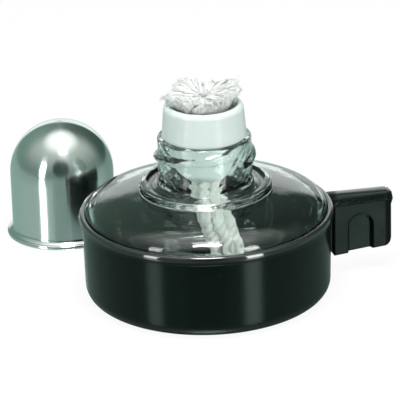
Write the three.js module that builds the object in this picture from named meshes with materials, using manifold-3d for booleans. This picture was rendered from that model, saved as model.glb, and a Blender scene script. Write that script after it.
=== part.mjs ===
// A laboratory spirit lamp: a glass reservoir in a black moulded holder with a side handle,
// a porcelain wick holder with a cotton wick, and a polished cap that stands beside the lamp.
// Millimetres, +Z up. The origin is on the lamp's axis, in the plane that the lamp stands on.
import * as THREE from "three";
import { mergeVertices } from "three/addons/utils/BufferGeometryUtils.js";
import Module from "manifold-3d";

const wasm = await Module();
wasm.setup();

const degree = Math.PI / 180;
const fitGap = 0.3; // between pieces that rest on or sit inside each other
const roundSegments = 52; // round pieces as wide as the holder
const neckSegments = 40; // round pieces about as wide as the neck
const screwSegments = 20;
const tubeSegments = 4; // half the number of sides of a yarn's or a ridge's round section

// Driving dimensions, each group in its own words.
const holder = {
  radius: 50, // outside of the wall, at the top
  baseRadius: 44, // flat base, inside its rounded corner
  height: 35,
  corner: 5.6, // radius between base and wall
  lowerWallRadius: 49.6, // the wall leans out slightly from here
  beadRadius: 51.2,
  beadBottom: 31.4,
  beadUndersideInset: 0.4, // the bead's underside ends this far inside its radius
  beadUndersideRise: 0.2,
  beadBulge: 0.5, // the control point of the bead's curve lies this far out
  beadBulgeDrop: 0.6,
  beadTopInset: 1.2,
  rimChamfer: 0.5,
  rimInnerRadius: 48.8,
  ledgeHeight: 30.6, // the wall is thicker below this ledge, where no bead stiffens it
  innerRadius: 47.4,
  innerBaseRadius: 46.6,
  innerCorner: 4,
  floor: 2.6,
};

const glass = {
  wall: 2.6,
  bodyRadius: 46.9,
  bodyTaper: 0.8, // how much narrower the body is above its foot
  footRadius: 40,
  footCorner: 6,
  footInnerCorner: 4,
  shoulderRadius: 48.4,
  shoulderBottom: 31.8,
  shoulderTop: 35.05,
  bulge: { radius: 48.6, height: 40.64 }, // the control point of the dome's curve
  collarRadius: 26.6,
  collarBottom: 44.6,
  collarTop: 46.9,
  collarShelfRadius: 24.6,
  neckRadius: 18.7,
  neckFillet: { run: 1, rise: 1.2 }, // where the neck rises from the collar's shelf
  shelfRise: 0.4, // how much the shelf rises on its way in to the neck
  boreRadius: 15.7,
  boreFlare: 1, // how far the bore's lower end curves down below the collar's inside
  insideDrop: 1, // the inside's corners lie this much lower than the outside's
  lip: 66.4,
  lipChamfer: 0.8,
  lipInnerChamfer: 0.6,
  pushUp: 1.5, // how far the middle of the base is pushed up
  pushUpRadius: 24, // the control point of the pushed-up curve
};

const thread = {
  starts: 2,
  lead: 17, // rise in one full turn
  sweep: 173 * degree, // each ridge's length round the neck
  startAngle: -40 * degree,
  startHeight: 56.4,
  steps: 26,
  runOut: 0.14, // the share of a ridge's length over which each end sinks into the wall
  ridge: 1.5, // radius of the ridge's round section
  crestRadius: 20.4,
};

const porcelain = {
  flangeRadius: 16.9,
  topRadius: 15.8,
  top: 80,
  bowlRadius: 13.2,
  bowlFloor: 72.5,
  rimOuterCorner: { inset: 1.5, drop: 2 },
  rimInnerDrop: 1.4,
  bowlWallFoot: { radius: 12.8, height: 75.5 },
  bowlCornerRadius: 12.2,
  boreRadius: 6.6,
  boreMouth: 71.5,
  flangeChamfer: { inset: 0.3, rise: 0.5 },
  neckFitRadius: 14.4, // just under the flange, where it is centred in the neck
  neckFitHeight: 1.5,
  plugRadius: 13.2, // the part that hangs inside the neck
  plugTop: 58.4,
  plugShoulder: { radius: 12.3, height: 57.8 },
  plugBelly: { radius: 11.8, height: 51.2 }, // the control point of its rounded end
  plugBottom: 49.6,
  plugBottomRadius: 7.9,
};

const wick = {
  yarns: 7, // one in the middle and six round it
  yarnRadius: 1.9,
  ringRadius: 4.1, // from the bundle's middle to the middle of each outer yarn
  twist: 100 * degree, // how far the bundle turns from end to end
  steps: 11,
};

// The frayed end of the wick.
const crown = {
  bottom: 72.9,
  stemRadius: 6,
  flare: { radius: 11, height: 75.9 }, // the control point of the part inside the porcelain
  mouthRadius: 12, // where it passes the porcelain's mouth
  mouthHeight: 80,
  spreadRadius: 14.6, // control point of its overhanging edge
  spreadHeight: 82.6,
  shoulderRadius: 13.6,
  shoulderHeight: 85.6,
  topPullRadius: 9.6, // the control point of its rounded top
  top: 89,
  flatness: 0.9, // its depth from front to back as a share of its width
};

// The middle of the wick, from inside the porcelain down to its free end in the reservoir.
const wickRoute = [
  [0, 0, 72.5],
  [0, 0, 67],
  [0, 0, 62],
  [0, 0, 57],
  [0, 0, 52],
  [0, 0, 47],
  [0.2, 0, 42],
  [1, -0.1, 37.5],
  [2.3, -0.3, 33],
  [3.9, -0.5, 28.6],
  [5.5, -0.7, 24.4],
  [6.9, -0.9, 20.3],
  [7.9, -1.1, 16.4],
  [8.5, -1.2, 12.6],
  [8.8, -1.2, 9],
];

const handle = {
  angle: 15.5 * degree, // from +X towards +Y
  tip: 77.5, // every length in this group is measured out from the lamp's axis
  panelStart: 52.5,
  panelEnd: 77,
  panelHalf: 4,
  panelBottom: 8,
  panelRise: 1.6, // how much the lower edge rises on its way to the tip
  panelCorner: 2.6,
  tipBevel: 0.8,
  tipBevelLength: 2.4,
  neckHalf: 2.9,
  neckBottom: 9.5,
  neckEnd: 53.5, // inside the panel
  roofTop: 34,
  roofDrop: 1, // how much the roof falls on its way to the tip
  roofFlatHalf: 2.8,
  roofEdgeHalf: 5,
  roofEdgeHeight: 29.8,
  roofEdgeThickness: 0.7,
  roofBevel: 1.6,
  thumbStart: 58.5,
  thumbEnd: 69,
  thumbTop: 25,
  thumbDepth: 2,
  spare: 2, // how far cutting shapes reach past the surface that they cut
};

const screw = {
  radius: 1.25,
  headRadius: 2.6,
  headHeight: 1.4,
  headSunk: 0.1, // below the inside of the holder's wall
  length: 9.5,
  pointLength: 0.6,
  holeDepth: 12,
  heights: { handle_screw_upper: 25, handle_screw_lower: 14.5 },
  slotWidth: 0.8,
  slotDepth: 0.7,
};

const cap = {
  place: [-60.3, 66.5],
  radius: 21.76,
  brimRadius: 24.1,
  wall: 0.5,
  domeCentre: 26.8,
  flareTop: 5.2,
  flarePull: 2, // height of the control point where the wall runs out into the brim
  flareInnerPull: 1.3,
  rolledEdge: 0.7, // radius of the rolled lower edge
  rollTop: { inset: 0.7, height: 1.7, pull: 1.6 },
  rollInside: { inset: 1.2, height: 1.1 },
  rollEndInset: 1.1,
  fineness: 4, // segments in each curve of the outline
  linerOuterRadius: 21,
  linerWall: 0.5,
  linerBottom: 1.4,
  linerTop: 18.6,
  ribReach: 19.3, // how far in the liner's ribs come
  ribRadius: 0.9,
  ribSweep: 80 * degree,
  ribSteps: 14,
  ribHeight: 8.4,
  sealInnerRadius: 17.3,
  sealHeight: 1.6,
};

// Joining and cutting ------------------------------------------------------------------------

function solidOf(geometry) {
  const bare = geometry.clone();
  bare.deleteAttribute("normal");
  bare.deleteAttribute("uv");
  const merged = mergeVertices(bare, 1e-4);
  return new wasm.Manifold(
    new wasm.Mesh({
      numProp: 3,
      vertProperties: new Float32Array(merged.attributes.position.array),
      triVerts: new Uint32Array(merged.index.array),
    }),
  );
}

function geometryOf(solid) {
  const mesh = solid.getMesh();
  const geometry = new THREE.BufferGeometry();
  geometry.setAttribute("position", new THREE.BufferAttribute(mesh.vertProperties, 3));
  geometry.setIndex(new THREE.BufferAttribute(mesh.triVerts, 1));
  const faceted = geometry.toNonIndexed();
  faceted.computeVertexNormals();
  return faceted;
}

function cut(geometry, ...tools) {
  const left = tools.reduce((rest, tool) => rest.subtract(solidOf(tool)), solidOf(geometry));
  return geometryOf(left);
}

function join(geometry, ...others) {
  const whole = others.reduce((sum, other) => sum.add(solidOf(other)), solidOf(geometry));
  return geometryOf(whole);
}

// Plain shapes -------------------------------------------------------------------------------

// A piece turned about Z. The path runs in (radius, height), up on the outside, and goes from
// axis to axis or closes on itself.
function turned(path, segments, fineness = 3) {
  return new THREE.LatheGeometry(path.getPoints(fineness), segments).rotateX(Math.PI / 2);
}

function rod(radius, from, to, segments) {
  const path = new THREE.Path();
  path.moveTo(0, from);
  path.lineTo(radius, from);
  path.lineTo(radius, to);
  path.lineTo(0, to);
  return turned(path, segments);
}

function squareRing(innerRadius, outerRadius, from, to, segments) {
  const path = new THREE.Path();
  path.moveTo(innerRadius, from);
  path.lineTo(outerRadius, from);
  path.lineTo(outerRadius, to);
  path.lineTo(innerRadius, to);
  path.closePath();
  return turned(path, segments);
}

// An outline in (outward, up), pulled sideways along Y by the same amount to both sides.
function plate(outline, halfThickness, fineness = 6) {
  const options = { depth: 2 * halfThickness, bevelEnabled: false, curveSegments: fineness };
  return new THREE.ExtrudeGeometry(outline, options)
    .translate(0, 0, -halfThickness)
    .rotateX(Math.PI / 2);
}

// A helix whose two ends dive towards the axis, so that a ridge swept along it runs out.
class RunOutHelix extends THREE.Curve {
  constructor({ radius, dive, startAngle, sweep, startHeight, lead }) {
    super();
    Object.assign(this, { radius, dive, startAngle, sweep, startHeight, lead });
  }

  getPoint(t, target = new THREE.Vector3()) {
    const fromEnd = Math.min(t, 1 - t) / thread.runOut;
    const sunk = this.dive * (1 - THREE.MathUtils.smoothstep(fromEnd, 0, 1));
    const angle = this.startAngle + this.sweep * t;
    const height = this.startHeight + (this.lead * this.sweep * t) / (2 * Math.PI);
    const radius = this.radius + sunk;
    return target.set(radius * Math.cos(angle), radius * Math.sin(angle), height);
  }
}

function roundShape(radius) {
  return new THREE.Shape().absarc(0, 0, radius, 0, 2 * Math.PI, false);
}

function ridgeAlong(helix, radius, steps) {
  return new THREE.ExtrudeGeometry(roundShape(radius), {
    extrudePath: helix,
    steps,
    curveSegments: tubeSegments,
    bevelEnabled: false,
  });
}

// Holder -------------------------------------------------------------------------------------

function holderProfile() {
  const h = holder;
  const path = new THREE.Path();
  path.moveTo(0, 0);
  path.lineTo(h.baseRadius, 0);
  path.quadraticCurveTo(h.lowerWallRadius, 0, h.lowerWallRadius, h.corner);
  path.lineTo(h.radius, h.beadBottom);
  path.lineTo(h.beadRadius - h.beadUndersideInset, h.beadBottom + h.beadUndersideRise);
  path.quadraticCurveTo(
    h.beadRadius + h.beadBulge,
    h.height - h.beadBulgeDrop,
    h.beadRadius - h.beadTopInset,
    h.height,
  );
  path.lineTo(h.rimInnerRadius + h.rimChamfer, h.height);
  path.lineTo(h.rimInnerRadius, h.height - h.rimChamfer);
  path.lineTo(h.rimInnerRadius, h.ledgeHeight);
  path.lineTo(h.innerRadius, h.ledgeHeight);
  path.lineTo(h.innerBaseRadius, h.floor + h.innerCorner);
  path.quadraticCurveTo(h.innerBaseRadius, h.floor, h.innerBaseRadius - h.innerCorner, h.floor);
  path.lineTo(0, h.floor);
  return path;
}

// Turns a piece that was made about +Z to lie along +X at a height.
function pointedOutwards(geometry, height) {
  return geometry.rotateY(Math.PI / 2).translate(0, 0, height);
}

// How far out from the lamp's axis a screw's head starts: just inside the sloping wall.
function screwFace(height) {
  const { mapLinear } = THREE.MathUtils;
  const { innerBaseRadius, innerRadius, floor, innerCorner, ledgeHeight } = holder;
  const wall = mapLinear(height, floor + innerCorner, ledgeHeight, innerBaseRadius, innerRadius);
  return wall + screw.headSunk;
}

// A clearance hole with a seat for the sunk head, open towards the lamp's axis.
function screwHole(height) {
  const face = screwFace(height);
  const shank = screw.radius + fitGap;
  const head = screw.headRadius + fitGap;
  const path = new THREE.Path();
  path.moveTo(0, face - screw.headHeight);
  path.lineTo(head, face - screw.headHeight);
  path.lineTo(head, face);
  path.lineTo(shank, face + screw.headHeight);
  path.lineTo(shank, face + screw.holeDepth);
  path.lineTo(0, face + screw.holeDepth);
  return pointedOutwards(turned(path, screwSegments), height);
}

function holderCup() {
  const cup = turned(holderProfile(), roundSegments);
  const holes = Object.values(screw.heights).map(screwHole);
  return cut(cup, ...holes.map((hole) => hole.rotateZ(handle.angle)));
}

// Handle -------------------------------------------------------------------------------------

function handlePanel() {
  const h = handle;
  const outline = new THREE.Shape();
  const tipBottom = h.panelBottom + h.panelRise;
  outline.moveTo(h.panelStart, h.panelBottom);
  outline.lineTo(h.panelEnd - h.panelCorner, tipBottom);
  outline.quadraticCurveTo(h.panelEnd, tipBottom, h.panelEnd, tipBottom + h.panelCorner);
  outline.lineTo(h.panelEnd, h.roofEdgeHeight + h.roofEdgeThickness);
  outline.lineTo(h.panelStart, h.roofEdgeHeight + h.roofEdgeThickness);
  outline.closePath();
  return plate(outline, h.panelHalf);
}

function handleNeck() {
  const h = handle;
  const outline = new THREE.Shape();
  outline.moveTo(holder.innerRadius, h.neckBottom);
  outline.lineTo(h.neckEnd, h.neckBottom);
  outline.lineTo(h.neckEnd, h.roofEdgeHeight + h.roofEdgeThickness);
  outline.lineTo(holder.innerRadius, h.roofEdgeHeight + h.roofEdgeThickness);
  outline.closePath();
  return plate(outline, h.neckHalf);
}

// The roof is a flat-topped ridge: its end outline, pulled outwards from the wall to the tip.
function handleRoof() {
  const h = handle;
  const outline = new THREE.Shape();
  outline.moveTo(-h.roofEdgeHalf, h.roofEdgeHeight);
  outline.lineTo(h.roofEdgeHalf, h.roofEdgeHeight);
  outline.lineTo(h.roofEdgeHalf, h.roofEdgeHeight + h.roofEdgeThickness);
  outline.lineTo(h.roofFlatHalf, h.roofTop);
  outline.lineTo(-h.roofFlatHalf, h.roofTop);
  outline.lineTo(-h.roofEdgeHalf, h.roofEdgeHeight + h.roofEdgeThickness);
  outline.closePath();
  const length = h.tip - holder.innerRadius;
  return new THREE.ExtrudeGeometry(outline, { depth: length, bevelEnabled: false })
    .rotateX(Math.PI / 2)
    .rotateZ(Math.PI / 2)
    .translate(holder.innerRadius, 0, 0);
}

// What is trimmed off above the roof: its top falls towards the tip and ends in a bevel.
function aboveRoof() {
  const h = handle;
  const endTop = h.roofTop - h.roofDrop;
  const above = new THREE.Shape();
  above.moveTo(h.panelStart, h.roofTop);
  above.lineTo(h.tip - h.roofBevel, endTop);
  above.lineTo(h.tip + h.spare, endTop - h.roofBevel - h.spare);
  above.lineTo(h.tip + h.spare, h.roofTop + h.spare);
  above.lineTo(h.panelStart, h.roofTop + h.spare);
  above.closePath();
  return plate(above, h.roofEdgeHalf + h.spare);
}

// A recess for the thumb or a finger, with an arched top, open downwards.
function thumbRecess(side) {
  const h = handle;
  const radius = (h.thumbEnd - h.thumbStart) / 2;
  const middle = (h.thumbStart + h.thumbEnd) / 2;
  const arch = new THREE.Shape();
  arch.moveTo(h.thumbStart, h.panelBottom - h.spare);
  arch.lineTo(h.thumbEnd, h.panelBottom - h.spare);
  arch.absarc(middle, h.thumbTop - radius, radius, 0, Math.PI, false);
  arch.closePath();
  return plate(arch, h.thumbDepth).translate(0, side * h.panelHalf, 0);
}

// What is cut off each side of the panel's outer end, seen from above as a thin wedge.
function tipSlope(side) {
  const h = handle;
  const wedge = new THREE.Shape();
  wedge.moveTo(h.panelEnd - h.tipBevelLength, side * h.panelHalf);
  wedge.lineTo(h.panelEnd, side * (h.panelHalf - h.tipBevel));
  wedge.lineTo(h.panelEnd, side * (h.panelHalf + h.spare));
  wedge.closePath();
  const height = h.roofEdgeHeight - h.panelBottom + h.spare;
  const geometry = new THREE.ExtrudeGeometry(wedge, { depth: height, bevelEnabled: false });
  return geometry.translate(0, 0, h.panelBottom - h.spare);
}

// The room that the holder needs: its wall and, above it, the wider bead, with the gap.
function roomForHolder() {
  const beadStart = holder.beadBottom - fitGap;
  const wall = rod(holder.radius + fitGap, 0, beadStart, roundSegments);
  const bead = rod(holder.beadRadius + fitGap, beadStart, 2 * holder.height, roundSegments);
  return [wall, bead];
}

function handleGeometry() {
  const panel = cut(handlePanel(), thumbRecess(1), thumbRecess(-1), tipSlope(1), tipSlope(-1));
  const roof = cut(handleRoof(), aboveRoof());
  const whole = join(roof, panel, handleNeck());
  const holes = Object.values(screw.heights).map(screwHole);
  return cut(whole, ...roomForHolder(), ...holes);
}

// A sunk-head screw with a straight slot, pointing outwards from inside the holder's wall.
function handleScrew(height) {
  const face = screwFace(height);
  const path = new THREE.Path();
  path.moveTo(0, face);
  path.lineTo(screw.headRadius, face);
  path.lineTo(screw.radius, face + screw.headHeight);
  path.lineTo(screw.radius, face + screw.length - screw.pointLength);
  path.lineTo(screw.radius - screw.pointLength, face + screw.length);
  path.lineTo(0, face + screw.length);
  const slot = new THREE.BoxGeometry(4 * screw.headRadius, screw.slotWidth, 2 * screw.slotDepth);
  const slotted = cut(turned(path, screwSegments), slot.translate(0, 0, face));
  return pointedOutwards(slotted, height);
}

// Glass --------------------------------------------------------------------------------------

// The outside, from the middle of the base up to the lip.
function addReservoirOutside(path, bottom) {
  const g = glass;
  const lowerRadius = g.bodyRadius - g.bodyTaper;
  const shelf = g.collarTop + g.shelfRise;
  path.moveTo(0, bottom + g.pushUp);
  path.quadraticCurveTo(g.pushUpRadius, bottom + g.pushUp, g.footRadius, bottom);
  path.quadraticCurveTo(lowerRadius, bottom, lowerRadius, bottom + g.footCorner);
  path.lineTo(g.bodyRadius, holder.ledgeHeight);
  path.lineTo(g.shoulderRadius, g.shoulderBottom);
  path.lineTo(g.shoulderRadius, g.shoulderTop);
  path.quadraticCurveTo(g.bulge.radius, g.bulge.height, g.collarRadius, g.collarBottom);
  path.quadraticCurveTo(g.collarRadius, g.collarTop, g.collarShelfRadius, g.collarTop);
  path.lineTo(g.neckRadius + g.neckFillet.run, shelf);
  path.quadraticCurveTo(g.neckRadius, shelf, g.neckRadius, shelf + g.neckFillet.rise);
  path.lineTo(g.neckRadius, g.lip - g.lipChamfer);
  path.lineTo(g.neckRadius - g.lipChamfer, g.lip);
}

// The inside, from the lip back down to the middle of the base.
function addReservoirInside(path, bottom) {
  const g = glass;
  const lowerRadius = g.bodyRadius - g.bodyTaper - g.wall;
  const flareBottom = g.collarTop - g.wall - g.boreFlare;
  path.lineTo(g.boreRadius + g.lipInnerChamfer, g.lip);
  path.lineTo(g.boreRadius, g.lip - g.lipInnerChamfer);
  path.lineTo(g.boreRadius, g.collarTop);
  path.quadraticCurveTo(g.boreRadius, flareBottom, g.collarRadius, g.collarBottom - g.wall);
  path.quadraticCurveTo(
    g.bulge.radius - g.wall,
    g.bulge.height - g.wall,
    g.shoulderRadius - g.wall,
    g.shoulderTop - g.insideDrop,
  );
  path.lineTo(g.bodyRadius - g.wall, holder.ledgeHeight - g.insideDrop);
  path.lineTo(lowerRadius, bottom + g.footInnerCorner);
  path.quadraticCurveTo(lowerRadius, bottom, g.footRadius, bottom);
  path.quadraticCurveTo(g.pushUpRadius, bottom + g.pushUp, 0, bottom + g.pushUp);
}

function reservoirProfile() {
  const bottom = holder.floor + fitGap;
  const path = new THREE.Path();
  addReservoirOutside(path, bottom);
  addReservoirInside(path, bottom + glass.wall);
  return path;
}

function neckThread(index) {
  const turn = (index / thread.starts) * 2 * Math.PI;
  const helix = new RunOutHelix({
    radius: thread.crestRadius - thread.ridge,
    dive: glass.neckRadius - thread.crestRadius,
    startAngle: thread.startAngle + turn,
    sweep: thread.sweep,
    startHeight: thread.startHeight,
    lead: thread.lead,
  });
  return ridgeAlong(helix, thread.ridge, thread.steps);
}

function glassReservoir() {
  const body = turned(reservoirProfile(), roundSegments);
  const ridges = Array.from({ length: thread.starts }, (_, index) => neckThread(index));
  return join(body, ...ridges);
}

// Porcelain ----------------------------------------------------------------------------------

// The plug and the flange, from the bore's lower end out and up to the rim.
function addPlugAndFlange(path, seat) {
  const p = porcelain;
  const { plugBelly: belly, plugShoulder: shoulder, rimOuterCorner: corner } = p;
  path.moveTo(p.plugBottomRadius, p.plugBottom);
  path.quadraticCurveTo(belly.radius, belly.height, shoulder.radius, shoulder.height);
  path.lineTo(p.plugRadius, p.plugTop);
  path.lineTo(p.neckFitRadius, seat - p.neckFitHeight);
  path.lineTo(p.neckFitRadius, seat);
  path.lineTo(p.flangeRadius - p.flangeChamfer.inset, seat);
  path.lineTo(p.flangeRadius, seat + p.flangeChamfer.rise);
  path.lineTo(p.topRadius, p.top - corner.drop);
  path.quadraticCurveTo(p.topRadius, p.top, p.topRadius - corner.inset, p.top);
}

// The bowl and the bore, from the rim back down to the bore's lower end.
function addBowlAndBore(path) {
  const p = porcelain;
  path.quadraticCurveTo(p.bowlRadius, p.top, p.bowlRadius, p.top - p.rimInnerDrop);
  path.lineTo(p.bowlWallFoot.radius, p.bowlWallFoot.height);
  path.quadraticCurveTo(p.bowlCornerRadius, p.bowlFloor, p.boreRadius, p.boreMouth);
  path.lineTo(p.boreRadius, p.plugBottom);
  path.closePath();
}

function wickHolder() {
  const path = new THREE.Path();
  addPlugAndFlange(path, glass.lip + fitGap);
  addBowlAndBore(path);
  return turned(path, neckSegments);
}

// Wick ---------------------------------------------------------------------------------------

const wickMiddle = new THREE.CatmullRomCurve3(
  wickRoute.map((point) => new THREE.Vector3(...point)),
  false,
  "centripetal",
);

// One yarn keeps its distance from the wick's middle while the whole bundle slowly twists.
class YarnCurve extends THREE.Curve {
  constructor(distance, angle) {
    super();
    Object.assign(this, { distance, angle });
  }

  getPoint(t, target = new THREE.Vector3()) {
    const along = wickMiddle.getTangentAt(t);
    const across = new THREE.Vector3(0, 1, 0).addScaledVector(along, -along.y).normalize();
    const beside = new THREE.Vector3().crossVectors(across, along);
    const angle = this.angle + wick.twist * t;
    return target
      .copy(wickMiddle.getPointAt(t))
      .addScaledVector(beside, this.distance * Math.cos(angle))
      .addScaledVector(across, this.distance * Math.sin(angle));
  }
}

function wickYarn(index) {
  const outer = wick.yarns - 1;
  const distance = index === 0 ? 0 : wick.ringRadius;
  const angle = ((index - 1) / outer) * 2 * Math.PI;
  return new THREE.ExtrudeGeometry(roundShape(wick.yarnRadius), {
    extrudePath: new YarnCurve(distance, angle),
    steps: wick.steps,
    curveSegments: tubeSegments,
    bevelEnabled: false,
  });
}

// The frayed end: it fills the porcelain's mouth loosely and spreads out over the rim.
function wickCrown() {
  const c = crown;
  const path = new THREE.Path();
  path.moveTo(0, c.bottom);
  path.lineTo(c.stemRadius, c.bottom);
  path.quadraticCurveTo(c.flare.radius, c.flare.height, c.mouthRadius, c.mouthHeight);
  path.quadraticCurveTo(c.spreadRadius, c.spreadHeight, c.shoulderRadius, c.shoulderHeight);
  path.quadraticCurveTo(c.topPullRadius, c.top, 0, c.top);
  return turned(path, neckSegments).scale(1, c.flatness, 1);
}

// Cap ----------------------------------------------------------------------------------------

function capShell() {
  const c = cap;
  const inner = c.radius - c.wall;
  const edge = c.rolledEdge;
  const roll = c.rollTop;
  const end = c.rollInside;
  const path = new THREE.Path();
  path.moveTo(c.brimRadius - edge, 0);
  path.quadraticCurveTo(c.brimRadius, 0, c.brimRadius, edge);
  path.quadraticCurveTo(c.brimRadius, roll.pull, c.brimRadius - roll.inset, roll.height);
  path.quadraticCurveTo(c.radius, c.flarePull, c.radius, c.flareTop);
  path.lineTo(c.radius, c.domeCentre);
  path.absarc(0, c.domeCentre, c.radius, 0, Math.PI / 2, false);
  path.lineTo(0, c.domeCentre + inner);
  path.absarc(0, c.domeCentre, inner, Math.PI / 2, 0, true);
  path.lineTo(inner, c.flareTop);
  path.quadraticCurveTo(inner, c.flareInnerPull, c.brimRadius - end.inset, end.height);
  path.lineTo(c.brimRadius - c.rollEndInset, 0);
  path.closePath();
  return turned(path, neckSegments, c.fineness);
}

// One rib of the liner, which runs under one of the neck's ridges when the cap is screwed on.
function linerRib(index) {
  const c = cap;
  const helix = new RunOutHelix({
    radius: c.ribReach + c.ribRadius,
    dive: c.linerOuterRadius - c.linerWall - c.ribReach,
    startAngle: (index / thread.starts) * 2 * Math.PI,
    sweep: c.ribSweep,
    startHeight: c.ribHeight,
    lead: thread.lead,
  });
  return ridgeAlong(helix, c.ribRadius, c.ribSteps);
}

function capThreadLiner() {
  const c = cap;
  const radius = c.linerOuterRadius;
  const sleeve = squareRing(radius - c.linerWall, radius, c.linerBottom, c.linerTop, neckSegments);
  const ribs = Array.from({ length: thread.starts }, (_, index) => linerRib(index));
  const beyond = squareRing(radius, 2 * radius, 0, 2 * c.linerTop, neckSegments);
  return cut(join(sleeve, ...ribs), beyond);
}

function capSeal() {
  const c = cap;
  const bottom = c.linerTop + fitGap;
  const top = bottom + c.sealHeight;
  return squareRing(c.sealInnerRadius, c.linerOuterRadius, bottom, top, neckSegments);
}

// Materials ----------------------------------------------------------------------------------

function finish(color, roughness, metalness, more = {}) {
  return new THREE.MeshStandardMaterial({ color, roughness, metalness, ...more });
}

const materials = {
  blackMoulding: finish(0x101513, 0.15, 0),
  blackGrip: finish(0x161b19, 0.55, 0),
  clearGlass: finish(0xdfeae6, 0.03, 0, { transparent: true, opacity: 0.35 }),
  whitePorcelain: finish(0xeef1ee, 0.15, 0),
  cotton: finish(0xefe9d6, 0.95, 0),
  polishedChrome: finish(0xd8dad8, 0.06, 1),
  tin: finish(0xb9bab5, 0.35, 1),
  blackRubber: finish(0x1c1c1c, 0.8, 0),
  steel: finish(0xa8a9a6, 0.35, 1),
};

function piece(name, geometry, material) {
  const mesh = new THREE.Mesh(geometry, material);
  mesh.name = name;
  return mesh;
}

// The whole lamp -----------------------------------------------------------------------------

function handleGroup() {
  const group = new THREE.Group();
  group.rotation.z = handle.angle;
  group.add(piece("handle", handleGeometry(), materials.blackGrip));
  for (const [name, height] of Object.entries(screw.heights)) {
    group.add(piece(name, handleScrew(height), materials.steel));
  }
  return group;
}

function wickGroup() {
  const group = new THREE.Group();
  for (let index = 0; index < wick.yarns; index++) {
    group.add(piece(`wick_yarn_${index + 1}`, wickYarn(index), materials.cotton));
  }
  group.add(piece("wick_crown", wickCrown(), materials.cotton));
  return group;
}

function capGroup() {
  const group = new THREE.Group();
  group.position.set(...cap.place, 0);
  group.add(piece("cap_shell", capShell(), materials.polishedChrome));
  group.add(piece("cap_thread_liner", capThreadLiner(), materials.tin));
  group.add(piece("cap_seal", capSeal(), materials.blackRubber));
  return group;
}

const lamp = new THREE.Group();
lamp.name = "spirit_lamp";
lamp.add(piece("holder_cup", holderCup(), materials.blackMoulding));
lamp.add(handleGroup());
lamp.add(piece("glass_reservoir", glassReservoir(), materials.clearGlass));
lamp.add(piece("wick_holder", wickHolder(), materials.whitePorcelain));
lamp.add(wickGroup());
lamp.add(capGroup());

export default lamp;
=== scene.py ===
"""A laboratory spirit lamp with its cap beside it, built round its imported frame.

Lengths in the outlines below are in millimetres; everything that reaches Blender is in metres.
"""

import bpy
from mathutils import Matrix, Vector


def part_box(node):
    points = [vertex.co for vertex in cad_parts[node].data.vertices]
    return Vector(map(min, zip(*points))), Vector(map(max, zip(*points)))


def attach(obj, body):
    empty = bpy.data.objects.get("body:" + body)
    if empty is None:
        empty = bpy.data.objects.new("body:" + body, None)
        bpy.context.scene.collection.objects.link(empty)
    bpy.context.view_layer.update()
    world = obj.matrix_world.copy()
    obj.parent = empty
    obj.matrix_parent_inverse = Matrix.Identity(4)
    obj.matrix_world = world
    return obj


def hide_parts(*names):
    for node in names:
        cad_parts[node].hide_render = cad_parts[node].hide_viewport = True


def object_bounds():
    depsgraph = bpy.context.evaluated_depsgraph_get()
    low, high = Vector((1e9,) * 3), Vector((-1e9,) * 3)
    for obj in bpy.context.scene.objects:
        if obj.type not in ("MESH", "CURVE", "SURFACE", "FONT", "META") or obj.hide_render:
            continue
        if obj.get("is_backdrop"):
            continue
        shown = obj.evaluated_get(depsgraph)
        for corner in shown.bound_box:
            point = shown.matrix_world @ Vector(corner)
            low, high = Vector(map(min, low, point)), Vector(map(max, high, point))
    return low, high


bl_info = {
    "name": "Spirit Lamp",
    "version": (1, 0, 0),
    "blender": (4, 5, 0),
    "location": "View3D > Sidebar > Spirit Lamp",
    "description": "Builds a glass spirit lamp, its cotton wick and its polished cap",
    "category": "Add Mesh",
}

from math import cos, pi, radians, sin

import bpy
import numpy as np
from bpy.props import FloatProperty, FloatVectorProperty, IntProperty, PointerProperty
from mathutils import Matrix, Vector

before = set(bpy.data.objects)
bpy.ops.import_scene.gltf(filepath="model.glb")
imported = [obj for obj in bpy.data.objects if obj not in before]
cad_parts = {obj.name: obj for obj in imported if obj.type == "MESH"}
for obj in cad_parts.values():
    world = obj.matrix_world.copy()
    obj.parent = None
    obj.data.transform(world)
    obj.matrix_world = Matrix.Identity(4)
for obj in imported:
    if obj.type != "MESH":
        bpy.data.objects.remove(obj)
cad_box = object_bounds()

MM = 0.001
TAU = 2 * pi


def box_mm(node):
    """Lowest and highest corner of a CAD node, in millimetres."""
    low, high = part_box(node)
    return np.array(low) / MM, np.array(high) / MM


holder_low, holder_high = box_mm("holder_cup")
glass_low, glass_high = box_mm("glass_reservoir")
porcelain_low, porcelain_high = box_mm("wick_holder")
cap_low, cap_high = box_mm("cap_shell")

BEAD_RADIUS = holder_high[1]
HOLDER_RADIUS = BEAD_RADIUS - 1.2
HOLDER_HEIGHT = holder_high[2]
GLASS_BOTTOM = glass_low[2]
GLASS_RADIUS = (glass_high[0] - glass_low[0]) / 2
LIP = glass_high[2]
FLANGE_RADIUS = porcelain_high[1]
PORCELAIN_TOP = porcelain_high[2]
CAP_PLACE = (cap_low[:2] + cap_high[:2]) / 2
CAP_BRIM = (cap_high[0] - cap_low[0]) / 2
CAP_HEIGHT = cap_high[2]
HANDLE_ANGLE = radians(15.5)


# Sizes and colours that a user would change -------------------------------------------------


def length_property(name, description, millimetres):
    return FloatProperty(
        name=name, description=description, default=millimetres * MM, unit="LENGTH", precision=4
    )


def colour_property(name, description, colour):
    return FloatVectorProperty(
        name=name, description=description, default=colour, size=3, subtype="COLOR", min=0, max=1
    )


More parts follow.
